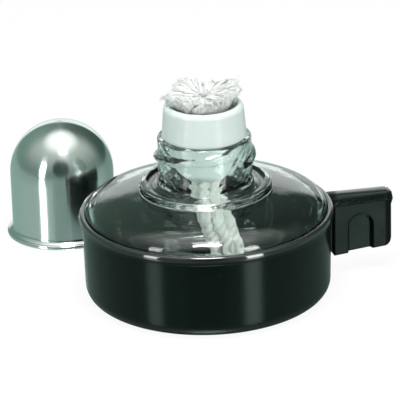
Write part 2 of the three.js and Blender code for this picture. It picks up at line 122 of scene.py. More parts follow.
class LampSizes(bpy.types.PropertyGroup):
    thread_crest: length_property("Thread height", "How far the neck's ridges stand out", 1.7)
    thread_lead: length_property("Thread lead", "Rise of a ridge in one turn", 17.0)
    glass_ripple: length_property("Glass ripple", "Waviness of the pressed glass", 0.07)
    yarn_pitch: length_property("Yarn pitch", "Length of one turn of a yarn's strands", 6.5)
    crown_spread: FloatProperty(
        name="Crown spread", description="How widely the frayed wick opens", default=1.0
    )
    locks: IntProperty(
        name="Locks", description="Locks of cotton in each third of the crown", default=64
    )


class LampFinishes(bpy.types.PropertyGroup):
    moulding: colour_property("Moulding", "Polished black moulding", (0.001, 0.0022, 0.0017))
    moulding_rim: colour_property("Rim", "Browner rim of the moulding", (0.008, 0.0062, 0.0055))
    grip: colour_property("Grip", "Satin black of the handle", (0.002, 0.0035, 0.003))
    glass: colour_property("Glass", "Clear pressed glass", (0.925, 0.98, 0.962))
    porcelain: colour_property("Porcelain", "Glazed white", (0.66, 0.71, 0.695))
    cotton_white: colour_property("Cotton, bleached", "Frayed ends", (0.99, 0.99, 0.985))
    # On the crown's root this cream is yellowed further, partly as painted shade.
    cotton_cream: colour_property("Cotton, raw", "Yarns and the crown's root", (0.97, 0.94, 0.87))
    chrome: colour_property("Chrome", "Mirror polish", (0.70, 0.745, 0.73))


class LampStage(bpy.types.PropertyGroup):
    overhead_power: FloatProperty(
        name="Overhead", description="Large soft light above the lamp", default=4.0, unit="POWER"
    )
    left_power: FloatProperty(
        name="Left", description="Soft light to the left of the camera", default=1.3, unit="POWER"
    )
    right_power: FloatProperty(
        name="Right", description="Soft light to the right of the camera", default=2.1, unit="POWER"
    )
    surround: FloatProperty(
        name="Surround", description="Brightness of the tent round the table", default=1.0
    )


# Outlines -----------------------------------------------------------------------------------


def unit(vector):
    return vector / np.linalg.norm(vector)


def rounded(corners, closed=False, facets=7):
    """An outline through corners (radius, height, rounding).

    A corner with a rounding becomes the arc that touches both of its sides: its centre lies on the
    angle's bisector, rounding / sin(half angle) from the corner.
    """
    places = [np.array(corner[:2], float) for corner in corners]
    outline = []
    for index, (place, corner) in enumerate(zip(places, corners)):
        inside = closed or 0 < index < len(corners) - 1
        rounding = corner[2] if len(corner) > 2 else 0
        if not inside or not rounding:
            outline.append(place[None])
            continue
        back = unit(places[index - 1] - place)
        ahead = unit(places[(index + 1) % len(places)] - place)
        half = np.arccos(np.clip(back @ ahead, -1, 1)) / 2
        centre = place + unit(back + ahead) * rounding / sin(half)
        start = place + back * rounding / np.tan(half) - centre
        end = place + ahead * rounding / np.tan(half) - centre
        sweep = pi - 2 * half
        share = np.linspace(0, 1, facets)[:, None]
        arc = (np.sin((1 - share) * sweep) * start + np.sin(share * sweep) * end) / sin(sweep)
        outline.append(centre + arc)
    return np.concatenate(outline)


def bent(start, pull, end, facets=28):
    """A quadratic curve: (1-t)^2 start + 2t(1-t) pull + t^2 end."""
    t = np.linspace(0, 1, facets)[:, None]
    return (1 - t) ** 2 * np.array(start) + 2 * t * (1 - t) * np.array(pull) + t**2 * np.array(end)


def dense(outline, step):
    """The same outline with extra points, so that no stretch is longer than step."""
    lengths = np.linalg.norm(np.diff(outline, axis=0), axis=1)
    counts = np.maximum(1, np.ceil(lengths / step)).astype(int)
    parts = [
        start + (end - start) * np.arange(count)[:, None] / count
        for start, end, count in zip(outline[:-1], outline[1:], counts)
    ]
    return np.concatenate([*parts, outline[-1:]])


# Surfaces -----------------------------------------------------------------------------------


def grid_faces(index, ring):
    """Quads of a grid whose columns close round; with ring, its rows close as well."""
    beside = np.roll(index, -1, axis=1)
    if ring:
        lower, lower_next = index, beside
        upper, upper_next = np.roll(index, -1, axis=0), np.roll(beside, -1, axis=0)
    else:
        lower, lower_next, upper, upper_next = index[:-1], beside[:-1], index[1:], beside[1:]
    return np.stack([lower, lower_next, upper_next, upper], -1).reshape(-1, 4)


def smooth_mesh(name, vertices, faces):
    mesh = bpy.data.meshes.new(name)
    mesh.from_pydata(vertices.tolist(), [], faces)
    mesh.polygons.foreach_set("use_smooth", np.ones(len(mesh.polygons), bool))
    mesh.update()
    return mesh


def surface_mesh(name, points, ring=False, start_pole=None, end_pole=None):
    """A mesh over a grid of points in metres: rows follow the outline, columns go round.

    A pole is a single point that closes the first or the last row.
    """
    rows, columns = points.shape[:2]
    index = np.arange(rows * columns).reshape(rows, columns)
    vertices = [points.reshape(-1, 3)]
    faces = grid_faces(index, ring).tolist()
    count = rows * columns
    if start_pole is not None:
        vertices.append(np.array([start_pole]))
        edge = np.stack([np.full(columns, count), np.roll(index[0], -1), index[0]], -1)
        faces += edge.tolist()
        count += 1
    if end_pole is not None:
        vertices.append(np.array([end_pole]))
        edge = np.stack([index[-1], np.roll(index[-1], -1), np.full(columns, count)], -1)
        faces += edge.tolist()
    return smooth_mesh(name, np.concatenate(vertices), faces)


def turned(outline, angles, reach=None, centre=(0, 0)):
    """Points of an outline carried round the axis: x = r cos a, y = r sin a, z = height.

    reach(angle, radius, height), in millimetres, is added to r.
    """
    radius, height = outline[:, :1], outline[:, 1:]
    angle = angles[None, :]
    if reach is not None:
        radius = radius + reach(angle, radius, height)
    x = centre[0] + radius * np.cos(angle)
    y = centre[1] + radius * np.sin(angle)
    z = np.broadcast_to(height, x.shape)
    return np.stack([x, y, z], -1) * MM


def turned_mesh(name, outline, columns, reach=None, centre=(0, 0), ring=False):
    """An outline turned about a vertical axis; its ends lie on the axis unless it is a ring."""
    angles = np.arange(columns) / columns * TAU
    if ring:
        return surface_mesh(name, turned(outline, angles, reach, centre), ring=True)
    start, end = (np.array([*centre, height]) * MM for height in outline[[0, -1], 1])
    points = turned(outline[1:-1], angles, reach, centre)
    return surface_mesh(name, points, start_pole=start, end_pole=end)


def tube_points(path, radius, sides):
    """Rings round many paths at once: path[..., k, :] + radius (cos a across + sin a beside).

    path is (..., steps, 3) and radius broadcasts to (..., steps).
    """
    along = np.gradient(path, axis=-2)
    along /= np.linalg.norm(along, axis=-1, keepdims=True)
    guide = np.where(np.abs(along[..., :1, 1:2]) < 0.8, [[0.0, 1.0, 0.0]], [[1.0, 0.0, 0.0]])
    across = guide - along * np.sum(guide * along, -1, keepdims=True)
    across /= np.linalg.norm(across, axis=-1, keepdims=True)
    beside = np.cross(along, across)
    angle = np.arange(sides) / sides * TAU
    size = np.asarray(radius)[..., None, None]
    ring = np.cos(angle)[:, None] * across[..., None, :] + np.sin(angle)[:, None] * beside[..., None, :]
    return path[..., None, :] + size * ring


# Pieces -------------------------------------------------------------------------------------


def piece(name, mesh, material, body, slot, *nodes):
    """A finished object: it rides on its body and stands for its CAD nodes."""
    made = bpy.data.objects.new(name, mesh)
    bpy.context.scene.collection.objects.link(made)
    mesh.materials.append(material)
    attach(made, body)
    if nodes:
        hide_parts(*nodes)
    return made


# Materials ----------------------------------------------------------------------------------


def node_group(name, inputs, outputs):
    """An empty shader group with named sockets: (name, socket type, default)."""
    group = bpy.data.node_groups.new(name, "ShaderNodeTree")
    for title, kind, default in inputs:
        socket = group.interface.new_socket(title, in_out="INPUT", socket_type=kind)
        if default is not None:
            socket.default_value = default
    for title, kind in outputs:
        group.interface.new_socket(title, in_out="OUTPUT", socket_type=kind)
    entry = group.nodes.new("NodeGroupInput")
    leave = group.nodes.new("NodeGroupOutput")
    return group, entry, leave


def give(links, socket, value):
    """Links another node's output to the socket, or sets the socket to a plain value."""
    if isinstance(value, bpy.types.NodeSocket):
        links.new(value, socket)
    else:
        socket.default_value = value


def noise_node(nodes, links, vector, scale, detail=3.0, roughness=0.5):
    node = nodes.new("ShaderNodeTexNoise")
    node.inputs["Detail"].default_value = detail
    node.inputs["Roughness"].default_value = roughness
    links.new(vector, node.inputs["Vector"])
    give(links, node.inputs["Scale"], scale)
    return node


def math_node(nodes, links, operation, *values):
    """Math; each value is a number or a socket."""
    node = nodes.new("ShaderNodeMath")
    node.operation = operation
    for socket, value in zip(node.inputs, values):
        give(links, socket, value)
    return node.outputs[0]


def mix_shaders(nodes, links, factor, first, second):
    node = nodes.new("ShaderNodeMixShader")
    for socket, value in zip(node.inputs, (factor, first, second)):
        give(links, socket, value)
    return node.outputs[0]


def plain_light(nodes, kind, colour):
    """The output of an Emission or Background node of one colour."""
    node = nodes.new(kind)
    node.inputs["Color"].default_value = (*colour, 1)
    return node.outputs[0]


def scaled(colour, share=1.0):
    return tuple(part * share for part in colour)


def range_node(nodes, links, value, low, high, to_low, to_high, smooth=False):
    """Map Range; each bound is a number or a socket."""
    node = nodes.new("ShaderNodeMapRange")
    node.interpolation_type = "SMOOTHSTEP" if smooth else "LINEAR"
    links.new(value, node.inputs["Value"])
    bounds = {"From Min": low, "From Max": high, "To Min": to_low, "To Max": to_high}
    for title, bound in bounds.items():
        give(links, node.inputs[title], bound)
    return node.outputs["Result"]


def mix_colours(nodes, links, factor, first, second):
    node = nodes.new("ShaderNodeMix")
    node.data_type = "RGBA"
    links.new(factor, node.inputs["Factor"])
    for title, colour in (("A", first), ("B", second)):
        socket = next(s for s in node.inputs if s.name == title and s.type == "RGBA")
        give(links, socket, colour if isinstance(colour, bpy.types.NodeSocket) else (*colour, 1))
    return next(s for s in node.outputs if s.type == "RGBA")


def smudge_group():
    """Roughness that wanders between two values: broad handling smears with finer streaks."""
    group, entry, leave = node_group(
        "Handling smudges",
        [
            ("Vector", "NodeSocketVector", None),
            ("Scale", "NodeSocketFloat", 60.0),
            ("Cleanest", "NodeSocketFloat", 0.1),
            ("Dullest", "NodeSocketFloat", 0.2),
        ],
        [("Roughness", "NodeSocketFloat")],
    )
    nodes, links = group.nodes, group.links
    noise = noise_node(nodes, links, entry.outputs["Vector"], entry.outputs["Scale"], 5, 0.6)
    result = range_node(
        nodes, links, noise.outputs["Fac"], 0.35, 0.7, entry.outputs["Cleanest"],
        entry.outputs["Dullest"],
    )
    links.new(result, leave.inputs["Roughness"])
    return group


def speck_group():
    """Dust and mould specks: a mask that is 1 in small scattered spots."""
    group, entry, leave = node_group(
        "Dust specks",
        [
            ("Vector", "NodeSocketVector", None),
            ("Scale", "NodeSocketFloat", 600.0),
            ("Size", "NodeSocketFloat", 0.1),
        ],
        [("Mask", "NodeSocketFloat")],
    )
    nodes, links = group.nodes, group.links
    cells = nodes.new("ShaderNodeTexVoronoi")
    links.new(entry.outputs["Vector"], cells.inputs["Vector"])
    links.new(entry.outputs["Scale"], cells.inputs["Scale"])
    patches = noise_node(nodes, links, entry.outputs["Vector"], 45.0, 2)
    near = math_node(nodes, links, "LESS_THAN", cells.outputs["Distance"], entry.outputs["Size"])
    dusty = range_node(nodes, links, patches.outputs["Fac"], 0.5, 0.62, 0.0, 1.0)
    links.new(math_node(nodes, links, "MULTIPLY", near, dusty), leave.inputs["Mask"])
    return group


def stipple_group():
    """Height of a spark-eroded mould grain: rounded cells of two sizes, inside a mask."""
    group, entry, leave = node_group(
        "Stippled grip",
        [
            ("Vector", "NodeSocketVector", None),
            ("Scale", "NodeSocketFloat", 1500.0),
            ("Mask", "NodeSocketFloat", 1.0),
        ],
        [("Height", "NodeSocketFloat")],
    )
    nodes, links = group.nodes, group.links
    cells = nodes.new("ShaderNodeTexVoronoi")
    cells.feature = "SMOOTH_F1"
    cells.inputs["Smoothness"].default_value = 0.6
    links.new(entry.outputs["Vector"], cells.inputs["Vector"])
    links.new(entry.outputs["Scale"], cells.inputs["Scale"])
    grain = noise_node(nodes, links, entry.outputs["Vector"], entry.outputs["Scale"], 2)
    total = math_node(nodes, links, "ADD", cells.outputs["Distance"], grain.outputs["Fac"])
    links.new(math_node(nodes, links, "MULTIPLY", total, entry.outputs["Mask"]), leave.inputs["Height"])
    return group


def placed_group(nodes, group, links, vector, **values):
    node = nodes.new("ShaderNodeGroup")
    node.node_tree = group
    links.new(vector, node.inputs["Vector"])
    for title, value in values.items():
        give(links, node.inputs[title], value)
    return node


def shared_group(build):
    """The group that build makes, made once."""
    made = bpy.data.node_groups.get(SHARED_NAMES[build])
    return made or build()


SHARED_NAMES = {
    smudge_group: "Handling smudges",
    speck_group: "Dust specks",
    stipple_group: "Stippled grip",
}


class Surface:
    """A material with one Principled shader and the object's own coordinates at hand."""

    def __init__(self, name, **plain):
        self.material = bpy.data.materials.new(name)
        self.material.use_nodes = True
        self.nodes = self.material.node_tree.nodes
        self.links = self.material.node_tree.links
        self.shader = self.nodes["Principled BSDF"]
        self.place = self.nodes.new("ShaderNodeTexCoord").outputs["Object"]
        for title, value in plain.items():
            socket = self.shader.inputs[title.replace("_", " ")]
            socket.default_value = (*value, 1) if hasattr(value, "__len__") else value

    def feed(self, title, socket):
        self.links.new(socket, self.shader.inputs[title])

    def noise(self, scale, detail=3.0, roughness=0.5, vector=None):
        node = noise_node(self.nodes, self.links, vector or self.place, scale, detail, roughness)
        return node.outputs["Fac"]

    def range(self, value, low, high, to_low, to_high, smooth=False):
        return range_node(self.nodes, self.links, value, low, high, to_low, to_high, smooth)

    def mix(self, factor, first, second):
        return mix_colours(self.nodes, self.links, factor, first, second)

    def group(self, build, **values):
        made = placed_group(self.nodes, shared_group(build), self.links, self.place, **values)
        return made.outputs[0]

    def part_of_place(self, axis, place=None):
        split = self.nodes.new("ShaderNodeSeparateXYZ")
        self.links.new(place or self.place, split.inputs[0])
        return split.outputs[axis]

    def stretched(self, scale, place=None):
        mapping = self.nodes.new("ShaderNodeMapping")
        mapping.inputs["Scale"].default_value = scale
        self.links.new(place or self.place, mapping.inputs["Vector"])
        return mapping.outputs["Vector"]

    def bump(self, height, distance, strength=1.0):
        node = self.nodes.new("ShaderNodeBump")
        node.inputs["Strength"].default_value = strength
        node.inputs["Distance"].default_value = distance
        self.links.new(height, node.inputs["Height"])
        self.feed("Normal", node.outputs["Normal"])

    def turned_polish(self):
        """Buffing round the vertical axis stretches each highlight up and down."""
        tangent = self.nodes.new("ShaderNodeTangent")
        tangent.direction_type = "RADIAL"
        tangent.axis = "Z"
        self.feed("Tangent", tangent.outputs["Tangent"])
        self.shader.inputs["Anisotropic Rotation"].default_value = 0.25


BLACK_SHEEN = (0.72, 1.0, 0.92)


def moulding_material(finishes):
    """Black phenolic, polished, a little browner and more glossy on the rim, with dust in its bead."""
    s = Surface(
        "Black moulding", Anisotropic=0.9, IOR=1.5, Specular_IOR_Level=0.17,
        Specular_Tint=BLACK_SHEEN, Coat_Roughness=0.06, Coat_IOR=1.8,
    )
    height = s.part_of_place("Z")
    rim = s.range(height, 0.0325, 0.0338, 0.0, 1.0, smooth=True)
    tone = s.mix(s.noise(90, 4), scaled(finishes.moulding), scaled(finishes.moulding, 1.7))
    dusty = s.mix(s.group(speck_group, Scale=900.0, Size=0.12), tone, (0.02, 0.023, 0.02))
    s.feed("Base Color", s.mix(rim, dusty, scaled(finishes.moulding_rim)))
    s.feed("Coat Weight", rim)
    s.feed("Roughness", s.group(smudge_group, Scale=35.0, Cleanest=0.22, Dullest=0.27))
    s.bump(s.noise(500, 2), 0.00001, 0.25)
    s.turned_polish()
    return s.material


def grip_material(finishes):
    """Satin black: glossy flat top, stippled slopes, smooth sides with slightly paler recesses."""
    s = Surface(
        "Black grip", IOR=1.5, Specular_IOR_Level=0.1, Specular_Tint=BLACK_SHEEN, Coat_Roughness=0.16
    )
    height = s.part_of_place("Z")
    roof = s.range(height, 0.0299, 0.0302, 0.0, 1.0)
    stippled = s.range(height, 0.0327, 0.0332, roof, 0.0)
    outer = s.range(s.part_of_place("X"), 0.0515, 0.0535, 0.0, 1.0, smooth=True)
    s.feed("Coat Weight", s.range(height, 0.0322, 0.0328, 0.0, outer))
    worn = s.noise(120, 4, 0.6)
    satin_black = s.mix(worn, scaled(finishes.grip), scaled(finishes.grip, 1.6))
    recess = s.nodes.new("ShaderNodeAttribute")
    recess.attribute_name = "recess"
    # Base colour is paler inside the arched recess.
    paler_in_recess = s.range(recess.outputs["Fac"], 0.2, 1.0, 0.0, 1.0)
    s.feed("Base Color", s.mix(paler_in_recess, satin_black, scaled(finishes.grip, 1.8)))
    satin = s.range(worn, 0.3, 0.7, 0.24, 0.34)
    s.feed("Roughness", s.range(stippled, 0.0, 1.0, satin, 0.14))
    s.bump(s.group(stipple_group, Scale=1000.0, Mask=stippled), 0.00022, 1.0)
    return s.material


def glass_material(finishes):
    """Clear pressed glass with the faint waves of its mould."""
    s = Surface(
        "Clear glass", Base_Color=scaled(finishes.glass), Roughness=0.0, IOR=1.5,
        Transmission_Weight=1.0,
    )
    neck = s.range(s.part_of_place("Z"), 0.0465, 0.049, 0.0, 1.0, smooth=True)
    streaks = s.noise(1.0, 3, 0.6, s.stretched((420, 420, 240)))
    waves = math_node(s.nodes, s.links, "MULTIPLY_ADD", streaks, neck, s.noise(110, 2, 0.45))
    s.bump(waves, 0.0004, 0.22)
    clear = s.nodes.new("ShaderNodeBsdfTransparent")
    clear.inputs["Color"].default_value = (0.80, 0.85, 0.83, 1)
    shadow = s.nodes.new("ShaderNodeLightPath").outputs["Is Shadow Ray"]
    mixed = mix_shaders(s.nodes, s.links, shadow, s.shader.outputs[0], clear.outputs[0])
    s.links.new(mixed, s.nodes["Material Output"].inputs["Surface"])
    return s.material


def porcelain_material(finishes):
    """White glaze over porcelain, slightly uneven, with a few iron specks."""
    s = Surface(
        "White porcelain", IOR=1.52, Specular_IOR_Level=0.2, Coat_Weight=0.15, Coat_Roughness=0.04
    )
    white = scaled(finishes.porcelain)
    shade = s.mix(s.noise(70, 3), white, scaled(white, 0.95))
    specks = s.group(speck_group, Scale=420.0, Size=0.06)
    s.feed("Base Color", s.mix(specks, shade, (0.45, 0.42, 0.36)))
    s.feed("Roughness", s.group(smudge_group, Scale=80.0, Cleanest=0.1, Dullest=0.2))
    s.bump(s.noise(160, 2), 0.00006, 0.3)
    return s.material


def yarn_material(finishes):
    """Raw cotton: fine fibres that run with the twist, and a slightly uneven cream."""
    s = Surface("Cotton yarn", Sheen_Weight=0.2, Sheen_Roughness=0.6, IOR=1.4)
    fibres = s.noise(1.0, 4, 0.65, s.stretched((2600, 2600, 700)))
    cream = scaled(finishes.cotton_cream)
    pale = tuple(min(1.0, part * 1.12) for part in cream)
    s.feed("Base Color", s.mix(fibres, scaled(cream, 0.8), pale))
    s.feed("Roughness", s.range(fibres, 0.2, 0.8, 0.8, 0.95))
    s.bump(fibres, 0.0003, 0.8)
    return s.material


def crown_material(finishes):
    """Frayed cotton: bleached white at the ends, and cream where it leaves the porcelain: raw cotton's
    colour with painted shade low in the bowl.
    """
    s = Surface("Frayed cotton", Sheen_Weight=1.0, Sheen_Roughness=0.5, IOR=1.4)
    height = s.part_of_place("Z")
    # Below this height the colour goes to cream: raw cotton's colour, deepened with painted shade where
    # the crown sits down in the bowl.
    ends = s.range(height, 0.0768, 0.0805, 0.0, 1.0, smooth=True)
    tone = s.noise(260, 4, 0.6)
    white = scaled(finishes.cotton_white)
    # A yellower cream than the yarns': partly raw cotton, partly painted shade.
    cream = tuple(raw * tint for raw, tint in zip(finishes.cotton_cream, (0.97, 0.97, 0.74)))
    base = s.mix(ends, cream, white)
    s.feed("Base Color", s.mix(s.range(tone, 0.3, 0.8, 0.0, 0.3), base, scaled(white, 0.9)))
    s.feed("Roughness", s.range(tone, 0.2, 0.8, 0.85, 0.97))
    s.bump(s.noise(1500, 4, 0.7), 0.0004, 0.7)
    return s.material


def chrome_material(finishes):
    """Chromed brass, buffed in turning: hairline rings, faint smears and a little dust."""
    s = Surface("Polished chrome", Metallic=1.0, Anisotropic=0.9)
    rings = s.noise(1.0, 3, 0.6, s.stretched((20, 20, 3800)))
    dusty = s.group(speck_group, Scale=1000.0, Size=0.1)
    bright = scaled(finishes.chrome)
    tone = s.mix(rings, bright, scaled(bright, 0.94))
    s.feed("Base Color", s.mix(dusty, tone, scaled(bright, 0.7)))
    s.feed("Roughness", s.group(smudge_group, Scale=45.0, Cleanest=0.13, Dullest=0.18))
    s.bump(rings, 0.00001, 0.12)
    s.turned_polish()
    return s.material


def liner_material():
    """Plain spun metal, dull, with turning lines."""
    s = Surface("Spun liner metal", Metallic=1.0)
    rings = s.noise(1.0, 3, 0.6, s.stretched((30, 30, 2600)))
    s.feed("Base Color", s.mix(rings, (0.52, 0.52, 0.5), (0.66, 0.66, 0.64)))
    s.feed("Roughness", s.range(rings, 0.2, 0.8, 0.32, 0.45))
    s.bump(rings, 0.00003, 0.3)
    return s.material


def rubber_material():
    """Matt black rubber with a dusty bloom."""
    s = Surface("Seal rubber", IOR=1.5)
    bloom = s.noise(300, 4)
    s.feed("Base Color", s.mix(bloom, (0.012, 0.012, 0.012), (0.035, 0.035, 0.034)))
    s.feed("Roughness", s.range(bloom, 0.2, 0.8, 0.65, 0.85))
    s.bump(bloom, 0.00004, 0.4)
    return s.material


def steel_material():
    """Turned steel with fine lines across."""
    s = Surface("Screw steel", Metallic=1.0)
    lines = s.noise(1.0, 3, 0.6, s.stretched((900, 900, 5200)))
    s.feed("Base Color", s.mix(lines, (0.42, 0.42, 0.4), (0.62, 0.62, 0.6)))
    s.feed("Roughness", s.range(lines, 0.2, 0.8, 0.25, 0.4))
    s.bump(lines, 0.00002, 0.3)
    return s.material


# Holder -------------------------------------------------------------------------------------

SCREWS = ("handle_screw_upper", "handle_screw_lower")
SCREW_HEIGHTS = [sum(corner[2] for corner in box_mm(node)) / 2 for node in SCREWS]
SCREW_HEAD = 2.6
SCREW_HEAD_DEPTH = 1.4
SCREW_SHANK = 1.25
SCREW_LENGTH = 9.5
SLOT_DEPTH = 0.6
SLOT_HALF_WIDTH = 0.4
INNER_TOP_RADIUS = HOLDER_RADIUS - 2.6
INNER_BASE_RADIUS = HOLDER_RADIUS - 3.4
LEDGE = 30.6
FLOOR = 2.6


def holder_outline():
    """The holder's half section, from the middle of its base, out, up, over the rim and back in."""
    bead, top = BEAD_RADIUS, HOLDER_HEIGHT
    outside = rounded(
        [
            (0, 0),
            (HOLDER_RADIUS - 0.6, 0, 5.2),
            (HOLDER_RADIUS, 31.5, 0.25),
            (bead - 0.25, 31.6, 0.35),
            (bead, 33.2, 1.6),
            (bead - 0.5, top, 1.1),
            (HOLDER_RADIUS - 1.2, top, 0.45),
            (HOLDER_RADIUS - 1.2, LEDGE, 0.3),
            (INNER_TOP_RADIUS, LEDGE, 0.3),
            (INNER_BASE_RADIUS, FLOOR, 4.0),
            (0, FLOOR),
        ],
        facets=9,
    )
    return dense(outside, 1.4)


def on_inner_wall(radius):
    return (radius < INNER_TOP_RADIUS + 0.05) & (radius > INNER_BASE_RADIUS - 1)


def sunk_seats(angle, radius, height):
    """Pushes the inside of the wall out round each screw: deepest on the shank, sloping like a cone."""
    push = np.zeros(np.broadcast(angle, height).shape)
    for level in SCREW_HEIGHTS:
        off_axis = np.hypot((angle - HANDLE_ANGLE) * INNER_TOP_RADIUS, height - level)
        depth = np.clip((SCREW_HEAD + 0.25 - off_axis) * 1.3, 0, SCREW_HEAD_DEPTH)
        push = np.maximum(push, depth)
    return np.where(on_inner_wall(radius), push, 0)


def holder_mesh():
    """The outline turned, with finer rows and columns where the screws' seats are."""
    outline = holder_outline()
    by_screws = on_inner_wall(outline[:, 0]) & (outline[:, 1] > 9) & (outline[:, 1] < 30)
    rows = np.flatnonzero(by_screws)
    fine = dense(outline[rows[0] : rows[-1] + 1], 0.3)
    outline = np.concatenate([outline[: rows[0]], fine, outline[rows[-1] + 1 :]])
    even = np.arange(240) / 240 * TAU
    near = HANDLE_ANGLE + radians(4.2) * np.linspace(-1, 1, 31)
    angles = np.sort(np.concatenate([even[np.abs(even - HANDLE_ANGLE) > radians(4.6)], near]))
    points = turned(outline[1:-1], angles, sunk_seats)
    return surface_mesh("Holder cup", points, start_pole=(0, 0, 0), end_pole=(0, 0, FLOOR * MM))


# Handle -------------------------------------------------------------------------------------

HANDLE = {
    "wall": 49.9,
    "tip": 77.5,
    "tip_round": 2.6,
    "end_round": 0.5,
    "end_thinning": 0.7,
    "thinning_length": 2.4,
    "lower_corner": 0.7,
    "fillet": 0.35,
    "lip_round": 0.25,
    "bevel": 1.7,
    "panel_start": 52.5,
    "panel_end": 77.0,
    "panel_half": 4.0,
    "panel_bottom": 8.0,
    "panel_rise": 1.6,
    "neck_half": 2.9,
    "neck_bottom": 9.5,
    "roof_top": 34.0,
    "roof_drop": 1.0,
    "roof_flat": 2.8,
    "roof_edge": 5.0,
    "roof_under": 29.8,
    "roof_lip": 0.7,
    "recess_middle": 63.75,
    "recess_half": 5.25,
    "recess_top": 25.0,
    "recess_depth": 2.0,
}


def step(value, edge, width):
    """0 below edge, 1 above it, along a smooth slope of that width."""
    t = np.clip((value - edge) / width + 0.5, 0, 1)
    return t * t * (3 - 2 * t)


def recess_depth(out, height):
    """How deep the arched recess is: full depth inside the arch, 0 outside, a soft slope between."""
    h = HANDLE
    springing = h["recess_top"] - h["recess_half"]
    rise = np.maximum(height - springing, 0)
    inside = h["recess_half"] - np.hypot(out - h["recess_middle"], rise)
    return h["recess_depth"] * step(inside, 0.25, 0.9)


def handle_section(out):
    """The handle's closed section at each distance out from the axis: (sideways, height).

    Half of it runs from the middle of the lower edge, out round the corner, up the side, under the
    roof's overhang, over its lip and up the slope to the flat top; the other half mirrors it.
    """
    h = HANDLE
    to_tip = (out - h["panel_start"]) / (h["panel_end"] - h["panel_start"])
    panel = step(out, h["panel_start"], 0.7)
    side = h["neck_half"] + (h["panel_half"] - h["neck_half"]) * panel
    thinning = h["thinning_length"]
    thinned = np.clip((out - (h["panel_end"] - thinning)) / thinning, 0, 1)
    side = side - h["end_thinning"] * thinned
    tip_round = h["tip_round"]
    corner = np.clip((out - (h["panel_end"] - tip_round)) / tip_round, 0, 1)
    bottom = h["neck_bottom"] + (h["panel_bottom"] - h["neck_bottom"]) * panel
    bottom = bottom + h["panel_rise"] * np.clip(to_tip, 0, 1) + tip_round * (1 - np.sqrt(1 - corner**2))
    top = h["roof_top"] - h["roof_drop"] * np.clip(to_tip, 0, 1)
    bevel = np.clip((out - (h["tip"] - h["bevel"])) / h["bevel"], 0, 1)
    top = top - h["bevel"] * (1 - np.sqrt(1 - 0.96 * bevel**2))
    under = np.full_like(out, h["roof_under"])

    up = np.linspace(0, 1, 56)[:, None]
    low, fillet, lip = h["lower_corner"], h["fillet"], h["lip_round"]
    heights = (bottom + low) + (under - fillet - bottom - low) * up
    sides = side - recess_depth(out, heights) * (1 - thinned)
    turn = np.linspace(0, pi / 2, 7)[:, None]
    side_below = side - recess_depth(out, bottom)
    corner_arc = np.stack([side_below - low + low * np.sin(turn), bottom + low - low * np.cos(turn)], -1)
    edge = np.full_like(out, h["roof_edge"]) - 0.5 * thinned
    fillet_arc = np.stack([side + fillet * (1 - np.cos(turn)), under - fillet + fillet * np.sin(turn)], -1)
    lip_arc = np.stack([edge - lip + lip * np.sin(turn), under + lip - lip * np.cos(turn)], -1)
    slope_start = np.stack([edge, under + h["roof_lip"]], -1)
    slope_end = np.stack([np.full_like(out, h["roof_flat"]), top], -1)
    away = np.array([0.06, 0.2, 0.4, 0.6, 0.8, 0.94])[:, None, None]
    slope = slope_start + (slope_end - slope_start) * away
    ease = np.stack([slope_end[:, 0] - 0.35, slope_end[:, 1] - 0.04], -1)
    half = np.concatenate(
        [
            np.stack([np.zeros_like(out), bottom], -1)[None],
            corner_arc,
            np.stack([sides, heights], -1)[1:-1],
            fillet_arc,
            lip_arc,
            slope,
            ease[None],
            np.stack([np.zeros_like(out), top], -1)[None],
        ]
    )
    mirrored = half[-2:0:-1] * np.array([-1, 1])
    return np.concatenate([half, mirrored])


def wall_reach(sideways, height):
    """How far out the holder's outside is, at a distance sideways and a height."""
    radius = HOLDER_RADIUS - 0.6 + 0.6 * np.clip(height / 31.5, 0, 1)
    radius = radius + (BEAD_RADIUS - HOLDER_RADIUS) * step(height, 31.5, 0.3)
    return np.sqrt(radius**2 - sideways**2)


def handle_mesh():
    """Sections carried from the holder's wall to the tip, with the first one bent to the wall."""
    h = HANDLE
    out = np.concatenate(
        [
            np.linspace(h["wall"], 53.4, 16),
            np.linspace(53.8, 57.0, 7),
            np.linspace(57.3, 70.2, 48),
            np.linspace(70.6, 74.4, 8),
            h["panel_end"] - h["tip_round"] * np.cos(np.linspace(0, pi / 2, 14))[:-1],
            h["tip"] - h["end_round"] * np.cos(np.linspace(0, pi / 2, 7)),
        ]
    )
    inside_panel = np.minimum(out, h["panel_end"])
    section = handle_section(inside_panel)
    sideways, height = section[..., 0], section[..., 1]
    roof = step(height, h["roof_under"] - 0.15, 0.2)
    beyond = np.clip((out - (h["tip"] - h["end_round"])) / h["end_round"], 0, 1)
    sideways = sideways * (1 - 0.12 * (1 - np.sqrt(1 - beyond**2)) * roof)
    length = np.where(roof > 0.5, out, np.minimum(out, h["panel_end"]))
    from_wall = wall_reach(sideways, height)
    start = h["wall"]
    reach = np.clip((length - start) / (56 - start), 0, 1)
    length = from_wall + (length - start) + (start - from_wall) * reach
    cosine, sine = cos(HANDLE_ANGLE), sin(HANDLE_ANGLE)
    flat = np.stack([length, sideways], -1) @ np.array([[cosine, sine], [-sine, cosine]])
    points = np.concatenate([flat, height[..., None]], -1) * MM
    points = points.transpose(1, 0, 2)
    mesh = surface_mesh("Handle", points, start_pole=points[0].mean(0), end_pole=points[-1].mean(0))
    share = recess_depth(np.minimum(out, h["panel_end"])[None], section[..., 1]) / h["recess_depth"]
    recess = mesh.attributes.new("recess", "FLOAT", "POINT")
    recess.data.foreach_set("value", np.append(share.T.ravel(), [0, 0]).astype(np.float32))
    return mesh


